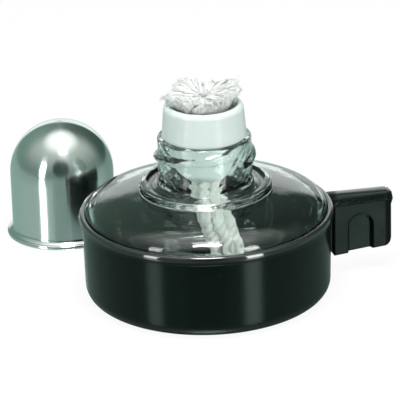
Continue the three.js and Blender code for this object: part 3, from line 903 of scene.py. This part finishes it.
def screw_mesh(height):
    """A sunk head with a straight slot on a short shank; it lies along the handle."""
    face = INNER_BASE_RADIUS + 0.85 * (height - 6.6) / 24 + 0.05
    outline = rounded(
        [
            (0, 0),
            (SCREW_HEAD, 0, 0.12),
            (SCREW_SHANK, SCREW_HEAD_DEPTH, 0.3),
            (SCREW_SHANK, SCREW_LENGTH, 0.5),
            (0, SCREW_LENGTH),
        ]
    )
    outline = dense(outline, 0.2)
    angles = np.arange(96) / 96 * TAU
    points = turned(outline[1:-1], angles)
    slot = (np.abs(points[..., 0]) < SLOT_HALF_WIDTH * MM) & (points[..., 2] < 0.3 * MM)
    points[..., 2] += np.where(slot, SLOT_DEPTH * MM, 0)
    axis = Matrix.Rotation(HANDLE_ANGLE, 4, "Z") @ Matrix.Translation((face * MM, 0, height * MM))
    axis = np.array(axis @ Matrix.Rotation(pi / 2, 4, "Y"))
    points = points @ axis[:3, :3].T + axis[:3, 3]
    start = axis[:3, 3] + axis[:3, :3] @ (0, 0, SLOT_DEPTH * MM)
    end = axis[:3, 3] + axis[:3, :3] @ (0, 0, SCREW_LENGTH * MM)
    return surface_mesh("Handle screw", points, start_pole=start, end_pole=end)


# Glass --------------------------------------------------------------------------------------

NECK_RADIUS = 18.7
BORE_RADIUS = 15.7
WALL = 2.6
FOOT_RADIUS = 46.1
BODY_RADIUS = 46.9
SHOULDER_TOP = 35.05
COLLAR_RADIUS = 26.6
COLLAR_TOP = 46.9
THREAD_START = radians(-40)
THREAD_SWEEP = radians(173)
THREAD_FOOT = 56.4
RIDGE_HALF_WIDTH = 1.65


def glass_outline():
    """The reservoir's half section: base, body, dome, collar, neck, then back down the inside."""
    b = GLASS_BOTTOM
    s = GLASS_RADIUS
    outside = rounded(
        [
            (0, b + 1.5),
            (30, b + 1.1, 30),
            (40, b, 6),
            (FOOT_RADIUS, b, 5),
            (BODY_RADIUS, 30.9, 1.2),
            (s, 32.3, 0.9),
            (s, SHOULDER_TOP),
        ],
        facets=9,
    )
    dome = bent((s, SHOULDER_TOP), (s + 0.2, 40.64), (COLLAR_RADIUS + 0.3, 44.3), 40)
    neck = rounded(
        [
            (COLLAR_RADIUS + 0.3, 44.3),
            (COLLAR_RADIUS - 0.2, 44.5, 0.5),
            (COLLAR_RADIUS, COLLAR_TOP + 0.2, 1.1),
            (24.0, COLLAR_TOP + 0.3, 1.1),
            (22.4, COLLAR_TOP - 0.7, 1.6),
            (NECK_RADIUS, COLLAR_TOP + 0.2, 1.5),
            (NECK_RADIUS, LIP, 0.9),
            (BORE_RADIUS, LIP, 0.8),
            (BORE_RADIUS, 47.0, 3.0),
            (BORE_RADIUS + 2.5, 43.9, 3.5),
            (COLLAR_RADIUS, 42.2, 8),
            (COLLAR_RADIUS + 3, 41.7),
        ],
        facets=9,
    )
    under = bent((COLLAR_RADIUS + 3, 41.7), (s - WALL + 0.4, 38.9), (s - WALL, 33.6), 34)
    inside = rounded(
        [
            (s - WALL, 33.6),
            (s - WALL, 31.6, 2.5),
            (BODY_RADIUS - WALL, 29.4, 2.5),
            (FOOT_RADIUS - WALL, b + WALL, 4.5),
            (38, b + WALL, 8),
            (0, b + WALL + 1.5),
        ],
        facets=9,
    )
    lower = dense(np.concatenate([outside, dome[1:]]), 1.8)
    hollow = dense(np.concatenate([under, inside[1:]]), 1.8)
    return np.concatenate([lower, dense(neck, 0.5)[1:], hollow[1:]])


def thread_ridges(angle, height, crest, lead):
    """Two rounded ridges wound round the neck: crest (1 - (height from a helix line / 1.65)^2)^0.7.

    Each ridge starts a half turn from the other and runs out smoothly at both ends.
    """
    raised = 0
    for turn in (0, pi):
        along = np.mod(angle - THREAD_START - turn, TAU)
        middle = THREAD_FOOT + lead * along / TAU
        share = along / THREAD_SWEEP
        ends = step(share, 0.05, 0.1) * (1 - step(share, 0.95, 0.1))
        across = np.clip((height - middle) / RIDGE_HALF_WIDTH, -1, 1)
        raised = raised + ends * (1 - across**2) ** 0.7
    return crest * raised


def glass_reach(sizes):
    """What is added to the glass's radius: the ridges outside and the ripple of pressed glass."""
    crest, lead = sizes.thread_crest / MM, sizes.thread_lead / MM
    ripple = sizes.glass_ripple / MM

    def reach(angle, radius, height):
        outside = (radius > NECK_RADIUS - 0.5) & (radius < NECK_RADIUS + 0.6)
        neck = outside & (height > COLLAR_TOP + 2) & (height < LIP - 0.5)
        added = np.where(neck, thread_ridges(angle, height, crest, lead), 0)
        bore = (radius < BORE_RADIUS + 1) & (height > 46)
        amount = np.where(bore, 2.2, 1.0) * np.clip(radius / 20, 0, 1)
        wave = (
            np.sin(3 * angle + 0.31 * height + 0.4)
            + 0.7 * np.sin(7 * angle - 0.83 * height + 1.9)
            + 0.5 * np.sin(13 * angle + 1.37 * height + 4.2)
        )
        near_lip = np.clip((LIP + 0.5 - height) / 3, 0, 1)
        fine = np.sin(19 * angle + 1.9 * height) + np.sin(29 * angle - 1.5 * height + 2)
        on_neck = (radius < NECK_RADIUS + 0.6) & (height > COLLAR_TOP)
        wave = wave + np.where(on_neck, 0.4 * fine, 0)
        return added + ripple * amount * wave * near_lip * 0.6

    return reach


# Porcelain ----------------------------------------------------------------------------------

PORCELAIN_BOTTOM = porcelain_low[2]
SEAT = LIP + 0.3
WICK_BORE = 6.6
NECK_FIT = 14.4


def porcelain_outline():
    """The wick holder's closed section: plug in the neck, flange, tapered cup, bowl and bore."""
    flange, top = FLANGE_RADIUS, PORCELAIN_TOP
    corners = [
        (8.2, PORCELAIN_BOTTOM, 0.8),
        (11.7, 52.2, 3.4),
        (12.2, 57.8, 0.8),
        (13.3, 58.6, 0.6),
        (NECK_FIT, SEAT - 1.0, 1.0),
        (NECK_FIT, SEAT, 0.3),
        (flange, SEAT, 0.35),
        (flange - 0.05, SEAT + 1.0, 1.5),
        (flange - 1.1, top, 2.3),
        (13.2, top, 0.95),
        (12.9, 74.8, 3.0),
        (WICK_BORE, 71.6, 1.6),
        (WICK_BORE, PORCELAIN_BOTTOM, 0.5),
    ]
    outline = rounded(corners, closed=True, facets=10)
    return dense(np.concatenate([outline, outline[:1]]), 0.8)[:-1]


# Wick ---------------------------------------------------------------------------------------

WICK_ROUTE = [
    (0, 0, 72.5),
    (0, 0, 67),
    (0, 0, 62),
    (0, 0, 57),
    (0, 0, 52),
    (0, 0, 47),
    (0.2, 0, 42),
    (1, -0.1, 37.5),
    (2.3, -0.3, 33),
    (3.9, -0.5, 28.6),
    (5.5, -0.7, 24.4),
    (6.9, -0.9, 20.3),
    (7.9, -1.1, 16.4),
    (8.5, -1.2, 12.6),
    (8.8, -1.2, 9),
]
YARN_RADIUS = 1.9
YARN_RING = 4.1
WICK_TWIST = radians(100)
YARN_STEPS = 153
YARN_SIDES = 36
WICK_LENGTH = 64
STRAND_GROOVE = 0.24


def smooth_route(points, per_stretch=24):
    """A curve through the points (Catmull-Rom), evened out so that its steps are equally long."""
    p = np.array(points, float)
    p = np.concatenate([2 * p[:1] - p[1:2], p, 2 * p[-1:] - p[-2:-1]])
    t = (np.arange(per_stretch) / per_stretch)[None, :, None]
    a, b, c, d = (p[i : len(p) - 3 + i, None] for i in range(4))
    square, cube = 2 * a - 5 * b + 4 * c - d, 3 * b - a - 3 * c + d
    curve = 0.5 * (2 * b + (c - a) * t + square * t**2 + cube * t**3)
    curve = np.concatenate([curve.reshape(-1, 3), p[-2:-1]])
    travelled = np.concatenate([[0], np.cumsum(np.linalg.norm(np.diff(curve, axis=0), axis=1))])
    even = np.linspace(0, travelled[-1], YARN_STEPS)
    return np.stack([np.interp(even, travelled, curve[:, k]) for k in range(3)], -1)


def yarn_path(index):
    """The middle of one yarn: the bundle twists, and below the porcelain it loosens and waves."""
    middle = smooth_route(WICK_ROUTE)
    along = np.gradient(middle, axis=0)
    along /= np.linalg.norm(along, axis=1, keepdims=True)
    across = np.array([0, 1, 0]) - along * along[:, 1:2]
    across /= np.linalg.norm(across, axis=1, keepdims=True)
    beside = np.cross(across, along)
    share = np.linspace(0, 1, YARN_STEPS)[:, None]
    loose = 1 + 0.18 * step(share, 0.66, 0.2) * (1 - step(share, 0.9, 0.2))
    distance = 0 if index == 0 else YARN_RING * loose
    angle = (index - 1) / 6 * TAU + WICK_TWIST * share
    free = 0.45 * step(share, 0.64, 0.2)
    wave = free * np.sin(share * [23, 19, 0] + index * np.array([1.9, 2.7, 0]))
    return middle + distance * (np.cos(angle) * beside + np.sin(angle) * across) + wave


def yarn_mesh(index, pitch):
    """Three strands twisted together: r = R (1 - groove (1 - |cos(1.5 a - turn)|)), soft at the end.

    Below the porcelain the strands loosen, and the yarn's thickness wavers a little all along.
    """
    path = yarn_path(index) * MM
    share = np.linspace(0, 1, YARN_STEPS)
    turn = share * WICK_LENGTH * MM / pitch * TAU
    angle = np.arange(YARN_SIDES) / YARN_SIDES * TAU
    lobes = np.abs(np.cos(1.5 * (angle[None, :] - turn[:, None] / 1.5)))
    plies = 1 - STRAND_GROOVE * (1 - lobes)
    wavering = np.random.default_rng(50 + index).standard_normal(16)
    slub = np.interp(np.arange(YARN_STEPS), np.linspace(0, YARN_STEPS, 16), wavering)
    slub = 1 + 0.3 * step(share, 0.66, 0.2) + 0.03 * slub
    ends = np.sqrt(np.clip((1 - share) * 40, 0.12, 1))
    ring = tube_points(path, np.ones(YARN_STEPS), YARN_SIDES) - path[:, None, :]
    size = 1.13 * YARN_RADIUS * MM * plies * (slub * ends)[:, None]
    points = path[:, None, :] + ring * size[..., None]
    points = points[::-1]
    return surface_mesh(f"Wick yarn {index + 1}", points, start_pole=path[-1], end_pole=path[0])


def fibre_mesh(name, paths, thickness, sides=3):
    """Many tapered fibres in one mesh. paths is (fibres, steps, 3) in metres."""
    fibres, steps = paths.shape[:2]
    taper = np.linspace(1, 0.35, steps)[None, :] * np.asarray(thickness)[:, None]
    points = tube_points(paths, taper, sides)
    index = np.arange(fibres * steps * sides).reshape(fibres, steps, sides)
    beside = np.roll(index, -1, axis=2)
    quads = np.stack([index[:, :-1], beside[:, :-1], beside[:, 1:], index[:, 1:]], -1).reshape(-1, 4)
    caps = np.concatenate([index[:, 0, ::-1], index[:, -1]]).tolist()
    return smooth_mesh(name, points.reshape(-1, 3), quads.tolist() + caps)


# How far the frayed end reaches out, and how high it stands, in each direction (degrees from +X).
CROWN_SHAPE = [
    (-175, 13.3, 81.2),
    (-135, 11.7, 82.0),
    (-100, 11.6, 80.9),
    (-70, 11.4, 81.8),
    (-35, 10.8, 83.4),
    (0, 13.2, 84.4),
    (35, 12.0, 84.9),
    (60, 9.2, 83.2),
    (80, 9.0, 84.4),
    (100, 8.8, 83.8),
    (125, 11.0, 84.6),
    (150, 11.8, 84.2),
    (168, 12.9, 81.8),
]
CROWN_CREASE = (-0.6, 82.8)
FIBRES_IN_LOCK = 48
CROWN_COLUMNS = 220
CROWN_ROWS = 90


def crown_extent(angle, column):
    """A column of CROWN_SHAPE between its directions, eased with a cosine."""
    shape = np.array(CROWN_SHAPE, float)
    known = np.radians(np.append(shape[:, 0], shape[0, 0] + 360))
    values = np.append(shape[:, column], shape[0, column])
    turned_by = np.mod(angle - known[0], TAU) + known[0]
    index = np.clip(np.searchsorted(known, turned_by, side="right") - 1, 0, len(known) - 2)
    share = (turned_by - known[index]) / (known[index + 1] - known[index])
    ease = (1 - np.cos(share * pi)) / 2
    return values[index] * (1 - ease) + values[index + 1] * ease


def crown_surface(angle, along, spread):
    """The frayed end's outside, in millimetres: along runs from the crease, over and down to 1.

    Each direction has a cubic B-spline over nine points that follow its reach and height. Folds are
    sines of the angle that grow from the crease to the edge.
    """
    reach = crown_extent(angle, 1) * spread
    rise = crown_extent(angle, 2)
    zero = np.zeros_like(reach)
    radii = np.stack([
        zero + 0.1, 0.3 * reach, 0.62 * reach, 0.96 * reach, 1.08 * reach, 1.0 * reach,
        np.minimum(reach, 11.9), zero + 10.2, zero + 6.5, zero + 5.2,
    ])
    heights = np.stack([
        zero + CROWN_CREASE[1], (rise + CROWN_CREASE[1]) / 2, rise - 0.4, rise + 0.9, rise + 0.2,
        rise - 2.2, zero + 79.6, zero + 77.0, zero + 73.8, zero + 73.0,
    ])
    count = len(radii)
    place = np.clip(along, 0, 1) * (count - 1)
    first = np.minimum(place.astype(int), count - 2)
    f = place - first
    weights = [(1 - f) ** 3, 3 * f**3 - 6 * f**2 + 4, -3 * f**3 + 3 * f**2 + 3 * f + 1, f**3]
    radius, height = 0, 0
    for offset, weight in zip((-1, 0, 1, 2), weights):
        index = np.clip(first + offset, 0, count - 1)
        radius = radius + weight * np.take_along_axis(radii, index[None], 0)[0] / 6
        height = height + weight * np.take_along_axis(heights, index[None], 0)[0] / 6
    above = np.clip((height - 79.5) / 3, 0, 1)
    folds = (
        0.2 * np.sin(11 * angle + 2.2 * np.sin(3 * angle) + 5 * along)
        + 0.12 * np.sin(23 * angle + 1.7 * np.sin(5 * angle + 1) - 4 * along)
        + 0.13 * np.sin(61 * angle + 2.0 * np.sin(7 * angle + 2))
    )
    radius = radius * (1 + 0.035 * folds * above)
    height = height + folds * above * np.clip(radius / 6, 0, 1)
    x = CROWN_CREASE[0] * (1 - np.clip(radius / 9, 0, 1)) + radius * np.cos(angle)
    y = radius * np.sin(angle)
    crease = np.exp(-(((x - 0.4 - 0.06 * y) / 1.3) ** 2)) * np.clip((y + 6) / 6, 0, 1)
    height = height - 2.4 * crease * np.clip((height - 82) / 3, 0, 1)
    return np.stack([x, y, height], -1)


def crown_core_mesh(spread):
    """The crown's packed cotton, a closed surface just under its loose fibres."""
    angle, along = np.meshgrid(
        np.arange(CROWN_COLUMNS) / CROWN_COLUMNS * TAU, np.linspace(1, 0.02, CROWN_ROWS)
    )
    points = crown_surface(angle, along, spread)
    points[..., :2] *= 0.9
    points[..., 2] -= 1.3 * np.clip((points[..., 2] - 78) / 3, 0, 1)
    bottom, top = points[0].mean(0), points[-1].mean(0)
    return surface_mesh("Wick crown core", points * MM, start_pole=bottom * MM, end_pole=top * MM)


def crown_fibres_mesh(name, locks, sector, spread, seed):
    """Locks of fibres combed outward over the core, that lift off it and stray past its edge.

    A lock follows the surface from near the crease to the edge of a sector of directions. Its fibres
    lie round its middle in a disc that widens outward, and end beyond the edge with a slow wave.
    """
    rng = np.random.default_rng(seed)
    steps = 9
    t = np.linspace(0, 1, steps)[None, None, :]
    lock = (locks, 1, 1)
    fibre = (locks, FIBRES_IN_LOCK, 1)
    angle = np.radians(np.linspace(*sector, locks)[:, None, None] + rng.uniform(-3, 3, lock))
    start = rng.uniform(0.03, 0.30, lock) + rng.uniform(-0.02, 0.06, fibre)
    end = np.clip(rng.normal(0.47, 0.05, lock) + rng.normal(0, 0.02, fibre), start + 0.1, 0.62)
    round_lock = rng.uniform(0, TAU, fibre)
    from_middle = np.sqrt(rng.uniform(0, 1, fibre)) * (0.55 + 0.9 * t)
    aside = 0.03 * from_middle * np.cos(round_lock)
    drift = rng.normal(0, 0.14, lock) + rng.normal(0, 0.04, fibre)
    path = crown_surface(angle + aside + drift * t, start + (end - start) * t, spread)
    path[..., 2] += 0.4 * from_middle * np.sin(round_lock)
    path[..., 2] += rng.uniform(-0.7, 1.3, lock) * np.sin(t * pi * 0.7)
    outward = np.stack([np.cos(angle), np.sin(angle), rng.uniform(0.0, 1.3, lock)], -1)
    outward /= np.linalg.norm(outward, axis=-1, keepdims=True)
    stray = rng.exponential(0.6, lock) + rng.exponential(0.4, fibre)
    path = path + outward * (stray * t**2)[..., None]
    phase = rng.uniform(0, TAU, (*fibre, 3))
    turns = rng.uniform(3, 9, (*fibre, 1))
    path = path + 0.16 * t[..., None] * np.sin(phase + t[..., None] * turns)
    path = path.reshape(-1, steps, 3)
    return fibre_mesh(name, path * MM, rng.uniform(0.06, 0.14, len(path)) * MM)


# Cap ----------------------------------------------------------------------------------------

CAP_RADIUS = CAP_BRIM - 2.34
CAP_WALL = 0.5
LINER_RADIUS = 21.0
LINER_WALL = 0.5
RIB_START = 8.4
RIB_HEIGHT = 1.2
RIB_HALF_WIDTH = 1.2
SEAL_RADIUS = 17.3


def cap_outline():
    """The shell's closed section: rolled edge, flare, wall, half-round dome, and back inside."""
    r, b = CAP_RADIUS, CAP_BRIM
    centre = CAP_HEIGHT - r
    quarter = np.linspace(0, pi / 2, 40)[:, None]
    dome = np.concatenate([r * np.cos(quarter), centre + r * np.sin(quarter)], 1)
    inner = r - CAP_WALL
    hollow = np.concatenate([inner * np.cos(quarter), centre + inner * np.sin(quarter)], 1)[::-1]
    outside = rounded(
        [(b - 1.3, 0.55, 0.2), (b - 1.0, 0, 0.35), (b, 0, 0.7), (b, 1.7, 0.75), (b - 1.1, 1.9, 0.5),
         (r, 3.0, 1.6), (r, centre)], facets=9,
    )
    inside = rounded([(inner, centre), (inner, 1.6, 1.2), (b - 1.3, 0.9, 0.5), (b - 1.3, 0.6)])
    poles = [[0.02, CAP_HEIGHT], [0.02, CAP_HEIGHT - CAP_WALL]]
    return dense(np.concatenate([outside, dome[1:-1], poles, hollow[1:-1], inside]), 1.2)


def square_ring(inner, outer, low, high, rounding, facets):
    """The closed section of a ring with rounded corners."""
    corners = [(inner, low), (outer, low), (outer, high), (inner, high)]
    return rounded([(*corner, rounding) for corner in corners], True, facets)


def liner_outline():
    ring = square_ring(LINER_RADIUS - LINER_WALL, LINER_RADIUS, 1.4, 18.6, 0.15, 4)
    return dense(np.concatenate([ring, ring[:1]]), 0.4)[:-1]


def liner_ribs(lead):
    """The liner's two ribs reach in: rib height times cos^2 of the height from a helix line."""

    def reach(angle, radius, height):
        raised = 0
        for turn in (0, pi):
            along = np.mod(angle - turn, TAU)
            share = along / radians(80)
            ends = step(share, 0.08, 0.16) * (1 - step(share, 0.92, 0.16))
            across = np.clip((height - RIB_START - lead * along / TAU) / RIB_HALF_WIDTH, -1, 1)
            raised = raised + ends * np.cos(across * pi / 2) ** 2
        return np.where(radius < LINER_RADIUS - 0.3, -RIB_HEIGHT * raised, 0)

    return reach


def seal_outline():
    return square_ring(SEAL_RADIUS, LINER_RADIUS, 18.9, 18.9 + 1.6, 0.3, 6)


# Operators ----------------------------------------------------------------------------------


class LampSettings:
    """What the lamp's operators read, and how they show in the interface."""

    bl_options = {"REGISTER", "UNDO"}

    @property
    def sizes(self):
        return bpy.context.scene.lamp_sizes

    @property
    def finishes(self):
        return bpy.context.scene.lamp_finishes


class LAMP_OT_holder(LampSettings, bpy.types.Operator):
    """Builds the black moulded holder that the glass stands in"""

    bl_idname = "lamp.holder"
    bl_label = "Holder"

    def execute(self, context):
        material = moulding_material(self.finishes)
        piece("holder_moulding", holder_mesh(), material, "holder", "black_moulding", "holder_cup")
        return {"FINISHED"}


class LAMP_OT_handle(LampSettings, bpy.types.Operator):
    """Builds the stippled handle and its two screws"""

    bl_idname = "lamp.handle"
    bl_label = "Handle and screws"

    def execute(self, context):
        grip = grip_material(self.finishes)
        piece("handle_grip", handle_mesh(), grip, "holder", "black_grip", "handle")
        steel = steel_material()
        for node, height in zip(SCREWS, SCREW_HEIGHTS):
            piece(f"{node}_turned", screw_mesh(height), steel, "holder", "screw_steel", node)
        return {"FINISHED"}


class LAMP_OT_glass(LampSettings, bpy.types.Operator):
    """Builds the pressed glass reservoir with its threaded neck"""

    bl_idname = "lamp.glass"
    bl_label = "Glass reservoir"

    def execute(self, context):
        mesh = turned_mesh("Glass reservoir", glass_outline(), 240, glass_reach(self.sizes))
        material = glass_material(self.finishes)
        piece("reservoir_glass", mesh, material, "reservoir", "clear_glass", "glass_reservoir")
        return {"FINISHED"}


class LAMP_OT_porcelain(LampSettings, bpy.types.Operator):
    """Builds the porcelain wick holder"""

    bl_idname = "lamp.porcelain"
    bl_label = "Porcelain wick holder"

    def execute(self, context):
        mesh = turned_mesh("Wick holder", porcelain_outline(), 160, ring=True)
        material = porcelain_material(self.finishes)
        piece("wick_holder_porcelain", mesh, material, "wick_holder", "white_porcelain", "wick_holder")
        return {"FINISHED"}


class LAMP_OT_wick(LampSettings, bpy.types.Operator):
    """Builds the wick's seven twisted cotton yarns"""

    bl_idname = "lamp.wick"
    bl_label = "Wick yarns"

    def execute(self, context):
        material = yarn_material(self.finishes)
        for index in range(7):
            mesh = yarn_mesh(index, self.sizes.yarn_pitch)
            node = f"wick_yarn_{index + 1}"
            yarn = piece(f"cotton_yarn_{index + 1}", mesh, material, "wick", "cotton", node)
            path = yarn_path(index) * MM
        return {"FINISHED"}


class LAMP_OT_crown(LampSettings, bpy.types.Operator):
    """Builds the wick's frayed end: soft locks and loose fibres"""

    bl_idname = "lamp.crown"
    bl_label = "Frayed wick end"

    def execute(self, context):
        material = crown_material(self.finishes)
        spread = self.sizes.crown_spread
        locks = self.sizes.locks
        piece("crown_core", crown_core_mesh(spread), material, "wick", "cotton", "wick_crown")
        for index, sector in enumerate([(-215, -95), (-95, 25), (25, 145)]):
            name = f"crown_fibres_{index + 1}"
            mesh = crown_fibres_mesh(name, locks, sector, spread, 20 + index)
            piece(name, mesh, material, "wick", "cotton")
        return {"FINISHED"}


class LAMP_OT_cap(LampSettings, bpy.types.Operator):
    """Builds the polished cap with its thread liner and seal"""

    bl_idname = "lamp.cap"
    bl_label = "Cap"

    def execute(self, context):
        shell = turned_mesh("Cap shell", cap_outline(), 240, centre=CAP_PLACE, ring=True)
        chrome = chrome_material(self.finishes)
        piece("cap_dome", shell, chrome, "cap", "polished_chrome", "cap_shell")
        lead = self.sizes.thread_lead / MM
        liner = turned_mesh("Cap liner", liner_outline(), 240, liner_ribs(lead), CAP_PLACE, ring=True)
        piece("cap_liner", liner, liner_material(), "cap", "liner_metal", "cap_thread_liner")
        seal = turned_mesh("Cap seal", seal_outline(), 120, centre=CAP_PLACE, ring=True)
        piece("cap_seal_ring", seal, rubber_material(), "cap", "seal_rubber", "cap_seal")
        return {"FINISHED"}


# Stage --------------------------------------------------------------------------------------

CAMERA_PLACE = (0, -1.1195, 0.4966)
CAMERA_AIM = (-0.00239, 0, 0.03852)
CAMERA_ROLL = radians(-1.65)
CAMERA_LENS = 272.6
BEHIND_GLASS = (0.60, 0.70, 0.66)
PAPER_SHARE = 0.93
FLOOR_DROP = 0.00005


def add_camera():
    data = bpy.data.cameras.new("Camera")
    data.lens = CAMERA_LENS
    data.sensor_width = 36
    data.clip_start, data.clip_end = 0.05, 50
    camera = bpy.data.objects.new("Camera", data)
    bpy.context.scene.collection.objects.link(camera)
    aim = (Vector(CAMERA_AIM) - Vector(CAMERA_PLACE)).to_track_quat("-Z", "Y").to_matrix().to_4x4()
    camera.matrix_world = Matrix.Translation(CAMERA_PLACE) @ aim @ Matrix.Rotation(CAMERA_ROLL, 4, "Z")
    bpy.context.scene.camera = camera


def by_sight(nodes, links, shaders):
    """Mixes three shaders: for plain sight, for sight through glass, and for scattered light."""
    plain, through_glass, scattered = shaders
    ray = nodes.new("ShaderNodeLightPath").outputs
    bounces = math_node(nodes, links, "ADD", ray["Diffuse Depth"], ray["Glossy Depth"])
    indirect = mix_shaders(nodes, links, bounces, through_glass, scattered)
    return mix_shaders(nodes, links, ray["Is Camera Ray"], indirect, plain)


def floor_material():
    """White paper with a faint shadow; polished things mirror a half-lit, slightly glossy table."""
    s = Surface("Pale floor", Roughness=0.9, Base_Color=(0.85, 0.85, 0.85), Specular_IOR_Level=0.1)
    paper = plain_light(s.nodes, "ShaderNodeEmission", (1, 1, 1))
    faint = mix_shaders(s.nodes, s.links, PAPER_SHARE, s.shader.outputs[0], paper)
    grey = plain_light(s.nodes, "ShaderNodeEmission", BEHIND_GLASS)
    dull = plain_light(s.nodes, "ShaderNodeEmission", (0.18, 0.26, 0.24))
    shine = s.nodes.new("ShaderNodeBsdfGlossy")
    shine.inputs["Color"].default_value = (0.6, 0.6, 0.6, 1)
    shine.inputs["Roughness"].default_value = 0.2
    table = s.nodes.new("ShaderNodeAddShader")
    s.links.new(dull, table.inputs[0])
    s.links.new(shine.outputs[0], table.inputs[1])
    seen = by_sight(s.nodes, s.links, (faint, grey, table.outputs[0]))
    s.links.new(seen, s.nodes["Material Output"].inputs["Surface"])
    return s.material


def add_floor():
    """A round sheet, 3 m in radius: rings of points at growing distances."""
    outline = np.array([[0, 0], [300, 0], [1200, 0], [3000, 0]], float)
    angles = np.arange(64) / 64 * TAU
    points = turned(outline[1:], angles)[::-1]
    mesh = surface_mesh("Floor", points - [0, 0, FLOOR_DROP], end_pole=(0, 0, -FLOOR_DROP))
    floor = bpy.data.objects.new("Floor", mesh)
    mesh.materials.append(floor_material())
    bpy.context.scene.collection.objects.link(floor)
    floor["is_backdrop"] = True


def add_light(name, azimuth, elevation, distance, size, power, shape="RECTANGLE"):
    """A soft light at an angle from the camera's side, aimed at the lamp."""
    data = bpy.data.lights.new(name, "AREA")
    data.shape = shape
    data.size, data.size_y = size
    data.energy = power
    light = bpy.data.objects.new(name, data)
    a, e = radians(azimuth), radians(elevation)
    towards = Vector((sin(a) * cos(e), -cos(a) * cos(e), sin(e)))
    place = towards * distance + Vector((0, 0, 0.03))
    light.matrix_world = Matrix.Translation(place) @ towards.to_track_quat("Z", "Y").to_matrix().to_4x4()
    light.visible_camera = False
    bpy.context.scene.collection.objects.link(light)


def add_world(brightness):
    """A dim green-grey studio: bright overhead, dark behind but for the horizon, white backdrop.

    An unlit patch on the camera's side leaves a dark spot on polished things.
    """
    world = bpy.data.worlds.new("Studio")
    bpy.context.scene.world = world
    world.use_nodes = True
    nodes, links = world.node_tree.nodes, world.node_tree.links
    studio = nodes["Background"]
    split = nodes.new("ShaderNodeSeparateXYZ")
    links.new(nodes.new("ShaderNodeTexCoord").outputs["Generated"], split.inputs[0])
    ahead, high = split.outputs["Y"], split.outputs["Z"]
    up = range_node(nodes, links, high, 0.1, 0.9, 0.0, 1.0, smooth=True)
    cloth = mix_colours(nodes, links, up, (0.17, 0.25, 0.22), (0.58, 0.66, 0.60))
    behind = range_node(nodes, links, ahead, 0.0, 0.6, 0.0, 0.85, smooth=True)
    leftward = range_node(nodes, links, split.outputs["X"], -0.6, 0.35, 1.0, 0.0, smooth=True)
    dark = mix_colours(nodes, links, leftward, (0.035, 0.07, 0.055), (0.20, 0.33, 0.27))
    shaded = mix_colours(nodes, links, behind, cloth, dark)
    horizon = range_node(nodes, links, high, 0.36, 0.5, 1.0, 0.0, smooth=True)
    far = range_node(nodes, links, ahead, 0.885, 0.93, 0.0, 1.0, smooth=True)
    low_light = math_node(nodes, links, "MULTIPLY", horizon, far)
    lit = mix_colours(nodes, links, low_light, shaded, (1.1, 1.16, 1.14))
    glow = range_node(nodes, links, high, 0.8, 0.99, 0.0, 1.0, smooth=True)
    bright = mix_colours(nodes, links, glow, lit, (1.6, 1.65, 1.6))
    toward_camera = nodes.new("ShaderNodeVectorMath")
    toward_camera.operation = "DOT_PRODUCT"
    toward_camera.inputs[1].default_value = Vector(CAMERA_PLACE).normalized()
    links.new(nodes.new("ShaderNodeTexCoord").outputs["Generated"], toward_camera.inputs[0])
    facing = toward_camera.outputs["Value"]
    unlit = range_node(nodes, links, facing, 0.93, 0.965, 0.0, 1.0, smooth=True)
    links.new(mix_colours(nodes, links, unlit, bright, (0.03, 0.06, 0.05)), studio.inputs["Color"])
    studio.inputs["Strength"].default_value = brightness
    backdrop = plain_light(nodes, "ShaderNodeBackground", (1, 1, 1))
    grey = plain_light(nodes, "ShaderNodeBackground", BEHIND_GLASS)
    seen = by_sight(nodes, links, (backdrop, grey, studio.outputs[0]))
    links.new(seen, nodes["World Output"].inputs["Surface"])


class LAMP_OT_stage(LampSettings, bpy.types.Operator):
    """Sets out the floor, the soft lights and the camera"""

    bl_idname = "lamp.stage"
    bl_label = "Stage"

    def execute(self, context):
        stage = context.scene.lamp_stage
        context.scene.view_settings.view_transform = "Standard"
        add_camera()
        add_floor()
        add_world(stage.surround)
        add_light("Overhead", 0, 79, 0.75, (0.22, 0.22), stage.overhead_power, "ELLIPSE")
        add_light("Left", -49, 17, 0.8, (0.17, 0.36), stage.left_power)
        add_light("Right", 40.5, 17, 0.8, (0.20, 0.36), stage.right_power)
        return {"FINISHED"}


class LAMP_PT_panel(bpy.types.Panel):
    """Lists the lamp's pieces and settings"""

    bl_idname = "LAMP_PT_panel"
    bl_label = "Spirit Lamp"
    bl_space_type = "VIEW_3D"
    bl_region_type = "UI"
    bl_category = "Spirit Lamp"

    def draw(self, context):
        for operator in OPERATORS:
            self.layout.operator(operator.bl_idname)
        for settings in ("lamp_sizes", "lamp_finishes", "lamp_stage"):
            group = getattr(context.scene, settings)
            for name in group.__annotations__:
                self.layout.prop(group, name)


SETTINGS = {"lamp_sizes": LampSizes, "lamp_finishes": LampFinishes, "lamp_stage": LampStage}
OPERATORS = [
    LAMP_OT_stage,
    LAMP_OT_holder,
    LAMP_OT_handle,
    LAMP_OT_glass,
    LAMP_OT_porcelain,
    LAMP_OT_wick,
    LAMP_OT_crown,
    LAMP_OT_cap,
]


def register():
    for cls in (*SETTINGS.values(), *OPERATORS, LAMP_PT_panel):
        bpy.utils.register_class(cls)
    for name, group in SETTINGS.items():
        setattr(bpy.types.Scene, name, PointerProperty(type=group))


def unregister():
    for name in SETTINGS:
        delattr(bpy.types.Scene, name)
    for cls in (LAMP_PT_panel, *reversed(OPERATORS), *SETTINGS.values()):
        bpy.utils.unregister_class(cls)


def main():
    register()
    for operator in OPERATORS:
        group, name = operator.bl_idname.split(".")
        getattr(getattr(bpy.ops, group), name)()
    visual_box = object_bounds()
    boxes = {"cad": cad_box, "visual": visual_box}
    boxes = {title: [list(corner) for corner in box] for title, box in boxes.items()}


if __name__ == "__main__":
    main()
